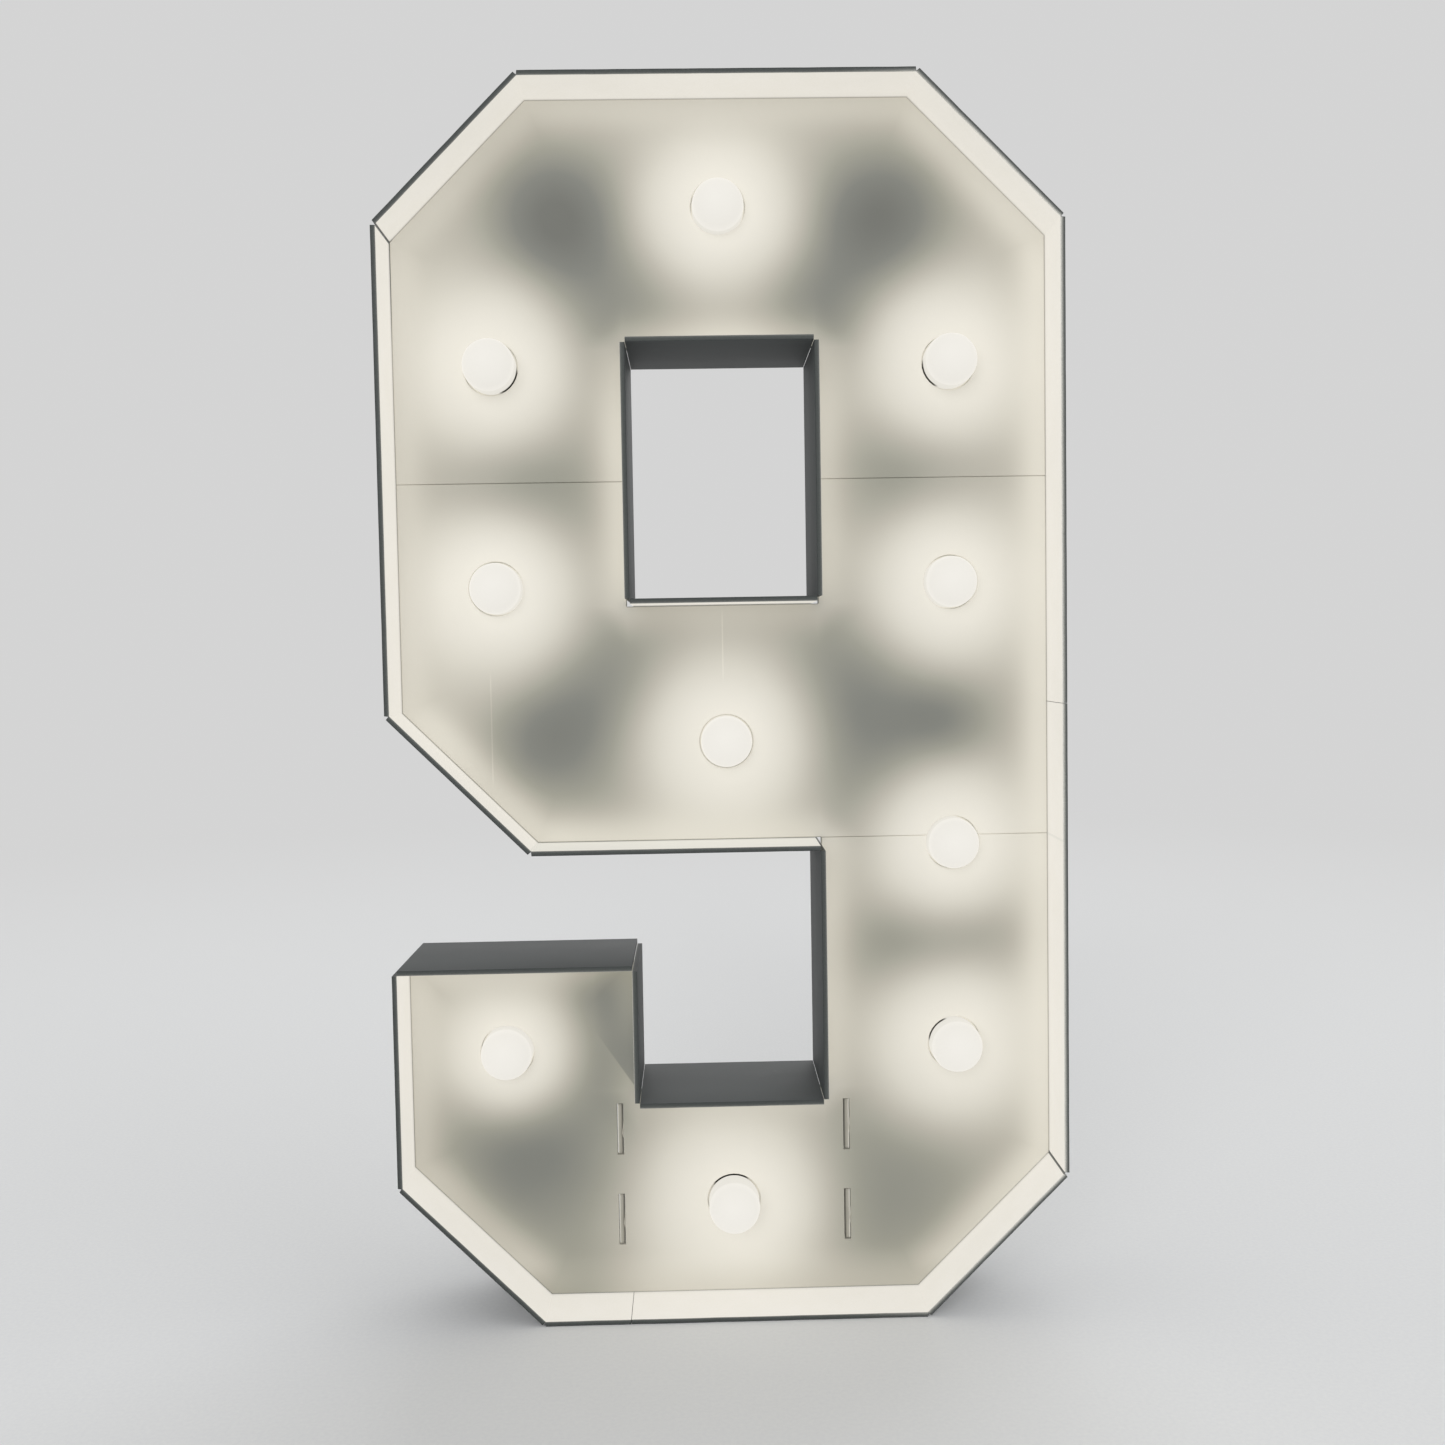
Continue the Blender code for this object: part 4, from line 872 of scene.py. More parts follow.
# %% Cut boards from outlines
LEG_TOP, LEG_TOP_LENGTH, LEG_TOE_HEIGHT = 0.165, 0.014, 0.014
SLOT_LENGTH, SLOT_PLAY, TOUCH_GAP = 0.032, 0.0005, 0.0003
SLOT_LOW, SLOT_HIGH = 0.0335, 0.090
SLOT_MIDDLE = (SLOT_LOW + SLOT_LENGTH + SLOT_HIGH) / 2
TAB_RECESS = 0.0008
NOTCH_HEIGHT, NOTCH_DEPTH = 0.016, 0.012
CORNER_ROUND = 0.0006


def board_profile(thickness):
    """The board's section as (inset, height), so that its skins and core show on a cut outline."""
    return board_edge() * (1, thickness)


def leg_outline(toe):
    """The leg from its side: (depth behind the panel, height)."""
    tab, gap = PANEL_BOARD - TAB_RECESS, TOUCH_GAP
    tab_length = SLOT_LENGTH - 2 * SLOT_PLAY
    low, high = SLOT_LOW + SLOT_PLAY, SLOT_HIGH + SLOT_PLAY
    notch_low, notch_high = SLOT_MIDDLE - NOTCH_HEIGHT / 2, SLOT_MIDDLE + NOTCH_HEIGHT / 2
    wall_top, wall_back = WALL_BOARD + gap, WALL_DEPTH - PANEL_SETBACK - PANEL_BOARD + gap
    return [
        (gap, wall_top), (gap, low), (-tab, low), (-tab, low + tab_length), (gap, low + tab_length),
        (gap, notch_low), (NOTCH_DEPTH, notch_low), (NOTCH_DEPTH, notch_high), (gap, notch_high),
        (gap, high), (-tab, high), (-tab, high + tab_length), (gap, high + tab_length), (gap, LEG_TOP),
        (LEG_TOP_LENGTH, LEG_TOP), (toe, LEG_TOE_HEIGHT), (toe, 0.0), (wall_back, 0.0),
        (wall_back, wall_top),
    ]


for side in ("left", "right"):
    low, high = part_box("leg_" + side)
    outline = softened_corners(leg_outline(high.y - PANEL_BACK), CORNER_ROUND, 3)
    flat = moulded(outline, board_profile(high.x - low.x))
    shell = moved(flat, (low.x, PANEL_BACK, 0.0), x=(0, 1, 0), y=(0, 0, 1), z=(1, 0, 0))
    made = collect("leg_board_" + side, [shell])
    keep(made, [PLAIN_BOARD], "leg_" + side, body="leg_" + side, sharp=BOARD_SHARP)
    print(made.name, "reaches", round(1000 * high.y, 1), "mm back")
for side in ("upper_left", "upper_right", "lower_left", "lower_right"):
    node = "seam_plate_" + side
    made = collect("backing_" + side, [plate_like(node, board_profile, 2 * CORNER_ROUND)])
    keep(made, [PLAIN_BOARD], node, sharp=BOARD_SHARP)

# %% [markdown]
# ## Torn slot edges
# The slots are punched, and halfway up the right edge of each the paper has torn and curls up a
# little. A thin curled lip is carried up the edge and shrinks to nothing at both ends.

# %% Curl the paper at the slots
LIP_LENGTH, LIP_WIDTH, LIP_RISE, LIP_THICKNESS, LIP_STEPS = 0.0125, 0.0007, 0.0004, 0.00014, 15
LIP_WANDER, LIP_HEIGHT_SHARE, LIP_LEAST = 0.0002, 0.48, 0.02


def torn_lip(x, z):
    """An arc-shaped section (out t, up rise sin t) carried up the edge and scaled by a cosine."""
    t = np.linspace(0, 1, 6)
    top = np.stack([LIP_WIDTH * t, LIP_RISE * np.sin(t * 2.2)], axis=1)
    loop = np.concatenate([top, (top - (0.0, LIP_THICKNESS))[::-1]])
    run = np.linspace(-0.5, 0.5, LIP_STEPS)
    path = np.stack([x + LIP_WANDER * np.sin(9 * run), 0 * run + PANEL_FRONT, z + LIP_LENGTH * run], axis=1)
    return swept(path, loop * (-1, -1), up=(0, 1, 0), scale=np.maximum(np.cos(np.pi * run), LIP_LEAST))


slot_edges = [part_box("leg_" + side)[1].x + SLOT_PLAY for side in ("left", "right")]
slot_heights = [slot + SLOT_LENGTH * LIP_HEIGHT_SHARE for slot in (SLOT_LOW, SLOT_HIGH)]
lips = [torn_lip(edge, height) for edge in slot_edges for height in slot_heights]
torn_paper = material("torn_paper", {"Roughness": 0.7})
mottle = fibres(torn_paper, torn_paper.place())
torn_paper.finish({"Base Color": mottle.between((172, 168, 156), (186, 182, 170))})
keep(collect("torn_slot_edges", lips), [torn_paper])
print("torn edges:", len(lips))

# %% [markdown]
# ## Globes
# A globe is a blown frosted dome on a straight skirt, with a moulding line and a ribbed neck that
# pushes into its holder. It is lit evenly from inside, so nearly all of its brightness is its own
# glow. It is a profile turned round the lamp's axis, and the photo shows how far each is drawn out.

# %% Turn the globes
GLOBE_RADIUS, GLOBE_WALL = 0.0155, 0.0012
NECK_RADIUS, NECK_LENGTH = 0.007, 0.0132
GLOBE_SKIRT, GLOBE_ROUNDING = 0.011, 0.0028
GLOBE_SHOULDER = GLOBE_SKIRT + GLOBE_ROUNDING
NECK_REACH = GLOBE_SHOULDER + NECK_LENGTH
SEAM_RISE, SEAM_WIDTH, RIB_RISE, RIBS = 0.00006, 0.0003, 0.00022, 4
BELOW_SEAM = 0.003
# Lamps whose hole shows a dark arc of painted shade: the arc's middle in degrees from the right, and half
# its reach
DARK_ARCS = {2: (-34, 34), 4: (208, 32), 8: (142, 30), 9: (100, 56)}
ARC_FADE, ARC_DEPTH = 8, (0.0001, 0.0005)
GAP_SHADE = tint(60, 58, 52)
GLOBE_SEGMENTS, GLOBE_SHARP = 72, 50.0
GLOBE_GLOW, GLOBE_BUMP = 0.84, 0.00004
FROST_SCALE, CLOUD_SCALE = 1600.0, 130.0
GLOBE_STOPS = (
    (0.0, (232, 229, 221)), (0.16, (242, 239, 232)), (0.45, (239, 236, 229)), (1.0, (240, 237, 230)),
)


def globe_side(inset, steps):
    """From the front pole over the dome, down the straight skirt and round to the neck's top."""
    radius, rounding = GLOBE_RADIUS - inset, GLOBE_ROUNDING - inset
    t = np.linspace(0, np.pi / 2, steps)
    dome = np.stack([radius * np.sin(t), radius * np.cos(t)], axis=1)
    seam, rest = np.linspace(0, -5 * SEAM_WIDTH, 11)[1:], np.linspace(-BELOW_SEAM, -GLOBE_SKIRT, 4)
    height = np.concatenate([seam, rest])
    skirt = np.stack([radius + 0 * height, height], axis=1)
    t = np.linspace(0, np.pi / 2, 5)[1:]
    corner = np.stack([radius - rounding * (1 - np.cos(t)), -GLOBE_SKIRT - rounding * np.sin(t)], axis=1)
    return np.concatenate([dome, skirt, corner, [(NECK_RADIUS - inset, -GLOBE_SKIRT - rounding)]])


def globe_profile():
    """The outside with a moulding line below the dome, the ribbed neck, then back inside."""
    outside = globe_side(SEAM_RISE, 26)
    seam = SEAM_RISE * np.exp(-(((outside[:, 1] + 2.5 * SEAM_WIDTH) / SEAM_WIDTH) ** 2))
    outside[:, 0] += seam * (outside[:, 0] > NECK_RADIUS)
    run = np.linspace(0, 1, 26)[1:]
    wave = (0.5 - 0.5 * np.cos(run * 2 * RIBS * np.pi)) * (run > 0.1)
    ribs = NECK_RADIUS - SEAM_RISE - RIB_RISE * wave
    neck = np.stack([ribs, -GLOBE_SHOULDER - NECK_LENGTH * run], axis=1)
    inner_neck = [(NECK_RADIUS - GLOBE_WALL, -NECK_REACH)]
    return np.concatenate([outside, neck, inner_neck, globe_side(GLOBE_WALL, 14)[::-1]])


def dark_arc(paint, where, number):
    """1 where the arc of painted shade lies: on the skirt inside the hole, where the way from the axis
    agrees with the arc's middle.
    """
    middle, reach = DARK_ARCS[number]
    lamp_x, lamp_z = LAMPS[number - 1]
    x, y, z = paint.parts(where)
    off_x, off_z = x - lamp_x, z - lamp_z
    turn = math.radians(middle)
    agree = (off_x * math.cos(turn) + off_z * math.sin(turn)) / off_x.length_with(off_z)
    end, full = math.cos(math.radians(reach + ARC_FADE)), math.cos(math.radians(reach - ARC_FADE))
    return agree.rise(end, full) * y.rise(*(PANEL_FRONT + depth for depth in ARC_DEPTH))


def globe_finish(number=None):
    """Frosted, and lit from inside. A lamp that is drawn out has a dark arc of painted shade where it leaves
    its hole.
    """
    paint = material(f"frosted_globe_{number or 'seated'}", {"Specular IOR Level": 0.12})
    where = paint.place()
    frost = paint.noise(where, FROST_SCALE, 3.0)
    level = paint.notes()[2] / GLOBE_RADIUS + 0.10 * (paint.noise(where, CLOUD_SCALE, 3.0) - 0.5)
    colour = level.ramp(*GLOBE_STOPS)
    if number:
        colour = paint.mix(dark_arc(paint, where, number), colour, GAP_SHADE)
    sockets = paint.glowing(GLOBE_GLOW, colour)
    return paint.finish({**sockets, "Roughness": 0.46 + 0.12 * frost}, frost, GLOBE_BUMP)


seated = globe_finish()
for number, (x, z) in enumerate(LAMPS, 1):
    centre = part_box(f"globe_{number}")[1].y - NECK_REACH
    shell = moved(turned(globe_profile(), GLOBE_SEGMENTS), (x, centre, z), **FACING_FRONT)
    made = collect(f"lamp_globe_{number}", [shell])
    finish = globe_finish(number) if number in DARK_ARCS else seated
    keep(made, [finish], f"globe_{number}", sharp=GLOBE_SHARP)
    print(made.name, "stands", round(1000 * (PANEL_FRONT - centre), 1), "mm out of the panel's face")

# %% [markdown]
# ## Holders
# Behind each hole a moulded cup keeps the globe. Its flange is stuck to the panel, its fluted boss
# holds the neck and the LED, and two jaws at its end grip the lead, so the lead's way sets their
# turn. The cup and boss are one turned profile, and the jaws are outlines cut off a disc.

# %% Turn the holders
GLOBE_LEAST_OUT, GLOBE_PLAY = 0.001, 0.0007
CUP_RADIUS, CUP_WALL = 0.016, 0.0014
CUP_FLOOR = GLOBE_SHOULDER - GLOBE_LEAST_OUT + GLOBE_PLAY
SOCKET_RADIUS, SOCKET_OUTER = 0.0073, 0.0094
SOCKET_END = NECK_REACH - GLOBE_LEAST_OUT + TOUCH_GAP
GROOVE_WIDTH, SOCKET_FLOOR = 0.003, 0.0015
GROOVE_FLOOR = SOCKET_END + SOCKET_FLOOR
HOLDER_END = GROOVE_FLOOR + GROOVE_WIDTH
FLANGE_RADIUS, FLANGE_THICKNESS = 0.022, 0.0018
SOFT = 0.0004
FLUTES, FLUTE_DEPTH = 24, 0.0004
GUSSETS, GUSSET_BOARD, GUSSET_REACH, GUSSET_HEIGHT = 6, 0.0011, 0.005, 0.006
LED_RADIUS, LED_LENGTH = 0.0025, 0.010
CUP_SEGMENTS, LED_SEGMENTS = 96, 24
CUP_GLOW = tint(118, 116, 109)
SWITCH_BAY_MIDDLE, LEAD_EXIT_SETBACK = 0.0071, 0.006
MOULD_GRAIN, PLASTIC_BUMP = 2600.0, 0.00006
# Handling marks: their size, the noise's values between which one shows, and how strong it is
HANDLING, HANDLING_SHARE, PLASTIC_DRIFT = (150.0, (0.58, 0.75)), 0.3, 45.0


def lead_ways():
    """At each lamp, the unit way (x, z) from the place before it to the one after it."""
    stops = np.array([(BOX_LOW.x, BOX_LOW.z + SWITCH_BAY_MIDDLE)] + LAMPS + [LAMPS[-1]])
    return unit(stops[2:] - stops[:-2])


def cup_shells():
    """The inside of the cup and socket, and the outside from the flange to the boss's end."""
    front, soft = -PANEL_BOARD - TOUCH_GAP, SOFT
    back, rear = front - FLANGE_THICKNESS, -CUP_FLOOR - CUP_WALL
    inside = [
        (0, -SOCKET_END), (SOCKET_RADIUS, -SOCKET_END), (SOCKET_RADIUS, -CUP_FLOOR - soft),
        (SOCKET_RADIUS + soft, -CUP_FLOOR), (CUP_RADIUS - soft, -CUP_FLOOR),
        (CUP_RADIUS, -CUP_FLOOR + soft), (CUP_RADIUS, front),
    ]
    outer, flange, boss = CUP_RADIUS + CUP_WALL, FLANGE_RADIUS, SOCKET_OUTER
    outside = [
        (CUP_RADIUS, front), (flange - soft, front), (flange, front - soft), (flange, back + soft),
        (flange - soft, back), (flange - 2.6 * soft, back), (flange - 3.2 * soft, back + 0.7 * soft),
        (outer + 4 * soft, back + 0.7 * soft), (outer + 3.4 * soft, back), (outer + soft, back),
        (outer, back - soft), (outer, rear + 2 * soft), (outer - 0.6 * soft, rear + 0.6 * soft),
        (outer - 2 * soft, rear), (boss + 2 * soft, rear), (boss + 0.5 * soft, rear - 0.5 * soft),
    ]
    outside += [(boss, height) for height in np.linspace(rear - 3 * soft, -GROOVE_FLOOR + soft, 5)]
    outside += [(boss - soft, -GROOVE_FLOOR), (0, -GROOVE_FLOOR)]
    depth = np.zeros(len(outside))
    depth[-6:-3] = FLUTE_DEPTH
    return [
        turned(inside, CUP_SEGMENTS, finish=1, capped=False),
        turned(outside, CUP_SEGMENTS, capped=False, flutes=(FLUTES, depth)),
    ]


def jaw_shells(way):
    """Two pieces cut off the boss's disc, on either side of the lead's groove."""
    start = math.asin(GROOVE_WIDTH / 2 / SOCKET_OUTER)
    t = np.linspace(start, math.pi - start, 24)
    arc = np.stack([np.cos(t), np.sin(t)], axis=1) * SOCKET_OUTER
    profile = plate_edge(HOLDER_END - GROOVE_FLOOR + SOFT, SOFT)
    along, across = (way[0], way[1], 0.0), (-way[1], way[0], 0.0)
    flats = [moulded(arc * (side, side), profile) for side in (1, -1)]
    return [moved(flat, (0, 0, -HOLDER_END), x=along, y=across) for flat in flats]


def gusset_shells():
    """Small triangular ribs from the boss to the cup's floor."""
    root, rear = SOCKET_OUTER - SOFT, -CUP_FLOOR - CUP_WALL
    end = SOCKET_OUTER + GUSSET_REACH
    outline = [(root, rear + SOFT), (end, rear + SOFT), (root, rear - GUSSET_HEIGHT)]
    flat = moulded(outline, plate_edge(GUSSET_BOARD, SOFT / 2))
    shells = []
    for t in ring(GUSSETS):
        out, side = (math.cos(t), math.sin(t), 0), (-math.sin(t), math.cos(t), 0)
        shells.append(moved(flat, np.array(side) * -GUSSET_BOARD / 2, x=out, y=(0, 0, 1), z=side))
    return shells


def led_shell():
    t = np.linspace(0, math.pi / 2, 6)
    dome = np.stack([LED_RADIUS * np.sin(t), -SOCKET_END + LED_LENGTH + LED_RADIUS * np.cos(t)], axis=1)
    return turned(np.concatenate([dome, [(LED_RADIUS, -SOCKET_END), (0, -SOCKET_END)]]), LED_SEGMENTS)


def plastic_finish(name, light, dark, roughness=0.42, lamp=None):
    """Moulded plastic: a fine spark-eroded grain and a few handling marks. A lamp's cup glows with painted
    light from its globe, but for the dark arc of painted shade round a lamp that is drawn out.
    """
    paint = material(name)
    where = paint.place()
    grain, drift = paint.noise(where, MOULD_GRAIN, 3.0, 0.6), paint.noise(where, PLASTIC_DRIFT, 4.0)
    rub = paint.noise(where, HANDLING[0], 6.0, 0.7).rise(*HANDLING[1])
    colour = paint.mix(HANDLING_SHARE * rub, drift.between(dark, light), tint(*light))
    glow = {}
    if lamp:
        arc = dark_arc(paint, where, lamp) if lamp in DARK_ARCS else 0.0
        colour = paint.mix(arc, colour, GAP_SHADE)
        glow = {"Emission Color": paint.mix(arc, CUP_GLOW, BLACK), "Emission Strength": 1.0}
    sockets = {"Base Color": colour, "Roughness": roughness + 0.18 * (grain - 0.5) - 0.10 * rub, **glow}
    return paint.finish(sockets, grain, PLASTIC_BUMP)


holder_plastic = plastic_finish("holder_plastic", (222, 221, 215), (208, 207, 200))
for number, ((x, z), way) in enumerate(zip(LAMPS, lead_ways()), 1):
    shells = cup_shells() + jaw_shells(way) + gusset_shells() + [led_shell()]
    shells = [moved(shell, (x, PANEL_FRONT, z), **FACING_FRONT) for shell in shells]
    made = collect(f"lamp_holder_{number}", shells)
    cup = plastic_finish(f"holder_cup_{number}", (226, 223, 215), (218, 215, 206), 0.5, lamp=number)
    keep(made, [holder_plastic, cup], f"holder_{number}")
print("holders:", len(LAMPS), "with", len(made.data.polygons), "faces each")

# %% [markdown]
# ## The lead
# One clear two-core lead leaves the battery box and runs through all ten holders, slack between them
# and through the notches of the legs. It is held at every holder, so it isn't a free cord. A section
# of two lobes is carried along smooth bends, and a stripe in each lobe is the copper seen through it.

# %% Run the lead
LEAD_RADIUS, LEAD_PLAY = 0.0012, 0.0003
LEAD_STRAIGHT, LEAD_SAG, LEAD_STANDOFF = 0.003, 0.006, 0.010
LEAD_GRIP = GROOVE_FLOOR + LEAD_PLAY + LEAD_RADIUS
LOBE = 0.0006
LOBE_MIDDLE, CORE_LINE, CORE_BUMP = LOBE * 0.97, (0.00016, 0.00034), 0.00005
STRAND_WAVES = (5200.0, 9000.0)
BOX_WALL = 0.0026
LEG_BEFORE_LAMP = {9: "leg_right", 10: "leg_left"}
BEND_STEPS, GRIP_STEPS = 14, 5
LEAD_SHARP = 60.0


def bezier(start, leaving, end, arriving):
    """A smooth bend: the cubic through start and end whose handles are a third of the way long."""
    reach = np.linalg.norm(end - start) / 3
    t = np.linspace(0, 1, BEND_STEPS + 1)[1:, None]
    first, second = start + leaving * reach, end - arriving * reach
    return (1 - t) ** 3 * start + 3 * t * (1 - t) ** 2 * first + 3 * t**2 * (1 - t) * second + t**3 * end


def lead_path():
    """Straight in each grip, and between two grips down to the slack's low point and up again."""
    exit_point = np.array([BOX_LOW.x, BOX_LOW.y + LEAD_EXIT_SETBACK, BOX_LOW.z + SWITCH_BAY_MIDDLE])
    leftwards = np.array([-1.0, 0.0, 0.0])
    start = exit_point - leftwards * (BOX_WALL + LEAD_STRAIGHT)
    grips = [(start, exit_point + leftwards * LEAD_STRAIGHT)]
    for (x, z), way in zip(LAMPS, lead_ways()):
        middle = np.array([x, PANEL_FRONT + LEAD_GRIP, z])
        half = np.array([way[0], 0.0, way[1]]) * (SOCKET_OUTER + LEAD_STRAIGHT)
        grips.append((middle - half, middle + half))
    pieces = [np.linspace(*grips[0], GRIP_STEPS)]
    for lamp, ((start, end), (next_start, next_end)) in enumerate(zip(grips, grips[1:]), 1):
        slack = (end + next_start) / 2 - (0.0, 0.0, LEAD_SAG)
        slack[1] = PANEL_BACK + LEAD_STANDOFF
        if lamp in LEG_BEFORE_LAMP:
            low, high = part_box(LEG_BEFORE_LAMP[lamp])
            slack = np.array([(low.x + high.x) / 2, PANEL_BACK + NOTCH_DEPTH / 2, SLOT_MIDDLE])
        drift = unit(next_start - end)
        pieces.append(bezier(end, unit(end - start), slack, drift))
        pieces.append(bezier(slack, drift, next_start, unit(next_end - next_start)))
        pieces.append(np.linspace(next_start, next_end, GRIP_STEPS)[1:])
    return np.concatenate(pieces)


def two_lobes():
    """Most of a circle on either side, with a waist between them."""
    t = np.radians(np.linspace(-125, 125, 9))
    right = np.stack([LOBE_MIDDLE + LOBE * np.cos(t), LOBE * np.sin(t)], axis=1)
    waist = np.array([[0.0, LOBE * 0.6]])
    return np.concatenate([right, waist, right * (-1, -1), -waist])


def lead_finish():
    paint = material("clear_lead", {"Coat Weight": 0.4, "Coat Roughness": 0.15})
    _, along, across = paint.notes()
    core = 1 - abs(abs(across) - LOBE_MIDDLE).rise(*CORE_LINE)
    strands = (along * STRAND_WAVES[0] + across * STRAND_WAVES[1]).sine()
    copper = strands.between((150, 92, 62), (206, 142, 104), (0.0, 1.0))
    sleeve = paint.noise(paint.place(), 60.0, 3.0).between((196, 197, 188), (212, 212, 205))
    colour = paint.mix(0.55 * core, sleeve, copper)
    sockets = {"Base Color": colour, "Roughness": 0.2 + 0.1 * abs(strands)}
    return paint.finish(sockets, core, CORE_BUMP, 0.4)


path = lead_path()
lead = collect("two_core_lead", [swept(path, two_lobes(), up=(0, 1, 0))])
keep(lead, [lead_finish()], "lead", sharp=LEAD_SHARP)
print("lead:", round(np.linalg.norm(np.diff(path, axis=0), axis=1).sum(), 3), "m on", len(path), "points")

# %% [markdown]
# ## The battery box
# A black moulded box for three cells is stuck to the panel's back. Its body keeps the CAD's shape,
# with bevelled edges. The lid is a plate with raised arcs for the thumb: height over a grid, worked
# out from two parameters. The foam pad bulges a little at its sides where it is squeezed.

# %% Mould the box, its lid, pad and switch
BODY_EDGE, LID_SOFT, LID_CORNER = 0.0005, 0.0004, 0.0008
GRIP_WIDTH, GRIP_HEIGHT, GRIP_RISE, GRIP_ARCS = 0.024, 0.016, 0.0005, 6
GRIP_SINK, GRIP_BELOW_TOP = 0.0002, 0.016
PAD_SQUEEZE, PAD_CORNER, PAD_CELLS, PAD_BUMP = 0.0004, 0.002, 2200.0, 0.0002
KNOB_RIDGE, KNOB_RIDGES, KNOB_SOFT = 0.0004, 4, 0.00012
KNOB_FOOT, KNOB_STEM, KNOB_CAP, KNOB_FOOT_THICKNESS = 0.00375, 0.0015, 0.00275, 0.002


def relief(width, height, rise, columns, rows, sink):
    """A raised field: the grid's height is rise(u, v), its border is sunk, and a flat face closes it."""
    u, v = np.meshgrid(np.linspace(-1, 1, columns), np.linspace(-1, 1, rows))
    lift = np.where(np.maximum(abs(u), abs(v)) > 0.999, -sink, rise(u, v))
    shell = skin(np.stack([u * width / 2, v * height / 2, lift], axis=-1), around=False, capped=False)
    index = np.arange(rows * columns).reshape(rows, columns)
    rim = np.concatenate([index[0, :-1], index[:-1, -1], index[-1, :0:-1], index[:0:-1, 0]])
    return shell._replace(faces=shell.faces + [rim[::-1].tolist()])


def thumb_arcs(u, v):
    """Raised arcs: rise x max(0, sin) of a height that bends with u, fading at the sides."""
    wave = np.sin((v + 0.35 * u**2) * np.pi * GRIP_ARCS)
    fade = np.clip(6 * (1 - abs(u)), 0, 1) * np.clip(5 * (1 - abs(v)), 0, 1)
    return GRIP_RISE * np.clip(wave, 0, 1) ** 0.6 * fade


def lid_profile(thick):
    return plate_edge(thick, LID_SOFT)


def pad_profile(thick):
    """Squeezed at its two faces and bulging between them."""
    insets, shares = (1.0, 0.2, 0.0, 0.2, 1.0), (0.0, 0.2, 0.5, 0.8, 1.0)
    return [(PAD_SQUEEZE * inset, thick * share) for inset, share in zip(insets, shares)]


def make_lid(finish):
    low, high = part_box("battery_lid")
    arcs = relief(GRIP_WIDTH, GRIP_HEIGHT, thumb_arcs, 41, 61, GRIP_SINK)
    centre = ((low.x + high.x) / 2, high.y, high.z - GRIP_BELOW_TOP)
    shells = [plate_like("battery_lid", lid_profile, LID_CORNER), moved(arcs, centre, **STANDING)]
    keep(collect("box_lid", shells), [finish], "battery_lid", body="battery_lid")


def make_pad():
    paint = material("foam_pad", {"Roughness": 0.95})
    holes = paint.bubbles(paint.place(), PAD_CELLS)
    foam = holes.between((176, 174, 166), (226, 225, 219), (0.0, 0.5))
    paint.finish({"Base Color": foam}, holes, PAD_BUMP)
    pad = collect("adhesive_pad", [plate_like("box_pad", pad_profile, PAD_CORNER, 6)])
    keep(pad, [paint], "box_pad")


def make_knob(finish):
    """The knob's own outline from above, with ridges across the cap, lifted to its height."""
    low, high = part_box("switch_knob")
    foot, stem, cap = KNOB_FOOT, KNOB_STEM, KNOB_CAP
    foot_back, cap_front = low.y + KNOB_FOOT_THICKNESS, BOX_HIGH.y + TOUCH_GAP
    s = np.linspace(cap, -cap, 8 * KNOB_RIDGES + 1)
    ridge = high.y - KNOB_RIDGE * (0.5 - 0.5 * np.cos((s + cap) / cap * np.pi * KNOB_RIDGES))
    right = [(foot, low.y), (foot, foot_back), (stem, foot_back), (stem, cap_front), (cap, cap_front)]
    left = [(-across, back) for across, back in right[:0:-1]]
    outline = [(-foot, low.y)] + right + list(zip(s, ridge)) + left
    shell = moulded(np.array(outline) + ((low.x + high.x) / 2, 0), plate_edge(high.z - low.z, KNOB_SOFT))
    made = collect("slide_knob", [moved(shell, (0, 0, low.z))])
    keep(made, [finish], "switch_knob", body="switch_knob")


black_plastic = plastic_finish("black_plastic", (58, 58, 60), (44, 44, 46), 0.46)
softened("battery_box", "box_body", BODY_EDGE, black_plastic, segments=3)
make_lid(black_plastic)
make_pad()
make_knob(plastic_finish("knob_plastic", (70, 70, 72), (56, 56, 58), 0.4))
print("box:", [round(1000 * side, 1) for side in BOX_HIGH - BOX_LOW], "mm")

# %% [markdown]
# ## Cells, contacts and the switch's frame
# Three cells stand side by side, every other one turned over. Each is a steel can in a plain printed
# sleeve that is shrunk over its shoulders. A real spring is a coil, so the cones of the CAD become
# wire carried along a helix that narrows as it rises.

# %% Turn the cells and wind the springs
CELL_RADIUS, CELL_LENGTH, CELL_SEGMENTS = 0.00715, 0.0505, 48
BUTTON_RADIUS, BUTTON_LENGTH = 0.00275, 0.0012
SHOULDER = CELL_LENGTH - BUTTON_LENGTH
# Heights between which the bare metal starts at the cell's flat end and at its button
BARE_FOOT, BARE_TOP = (0.00028, 0.0004), (SHOULDER - 0.0001, SHOULDER)
SHRINK_SCALE, SCRATCH_SCALE, SLEEVE_BUMP = 90.0, 700.0, 0.00015
BRUSHING, TARNISH_SCALE, TARNISH, STEEL_BUMP = (300.0, 300.0, 3000.0), 220.0, (0.5, 0.7), 0.00003
WIRE_RADIUS, SPRING_TURNS, TURN_STEPS, WIRE_SEGMENTS = 0.00028, 4, 24, 8
SPRING_BASE, SPRING_TIP, SPRING_LENGTH = 0.0037, 0.0024, 0.0033
PLATE_THICKNESS, PLATE_SOFT, PLATE_CORNER, SWITCH_EDGE = 0.0005, 0.0001, 0.0015, 0.0004
# Each contact, and the cell on whose flat end its spring stands
CONTACTS = (("bottom_single", 1), ("top_link", 2), ("bottom_link", 3), ("top_single", None))


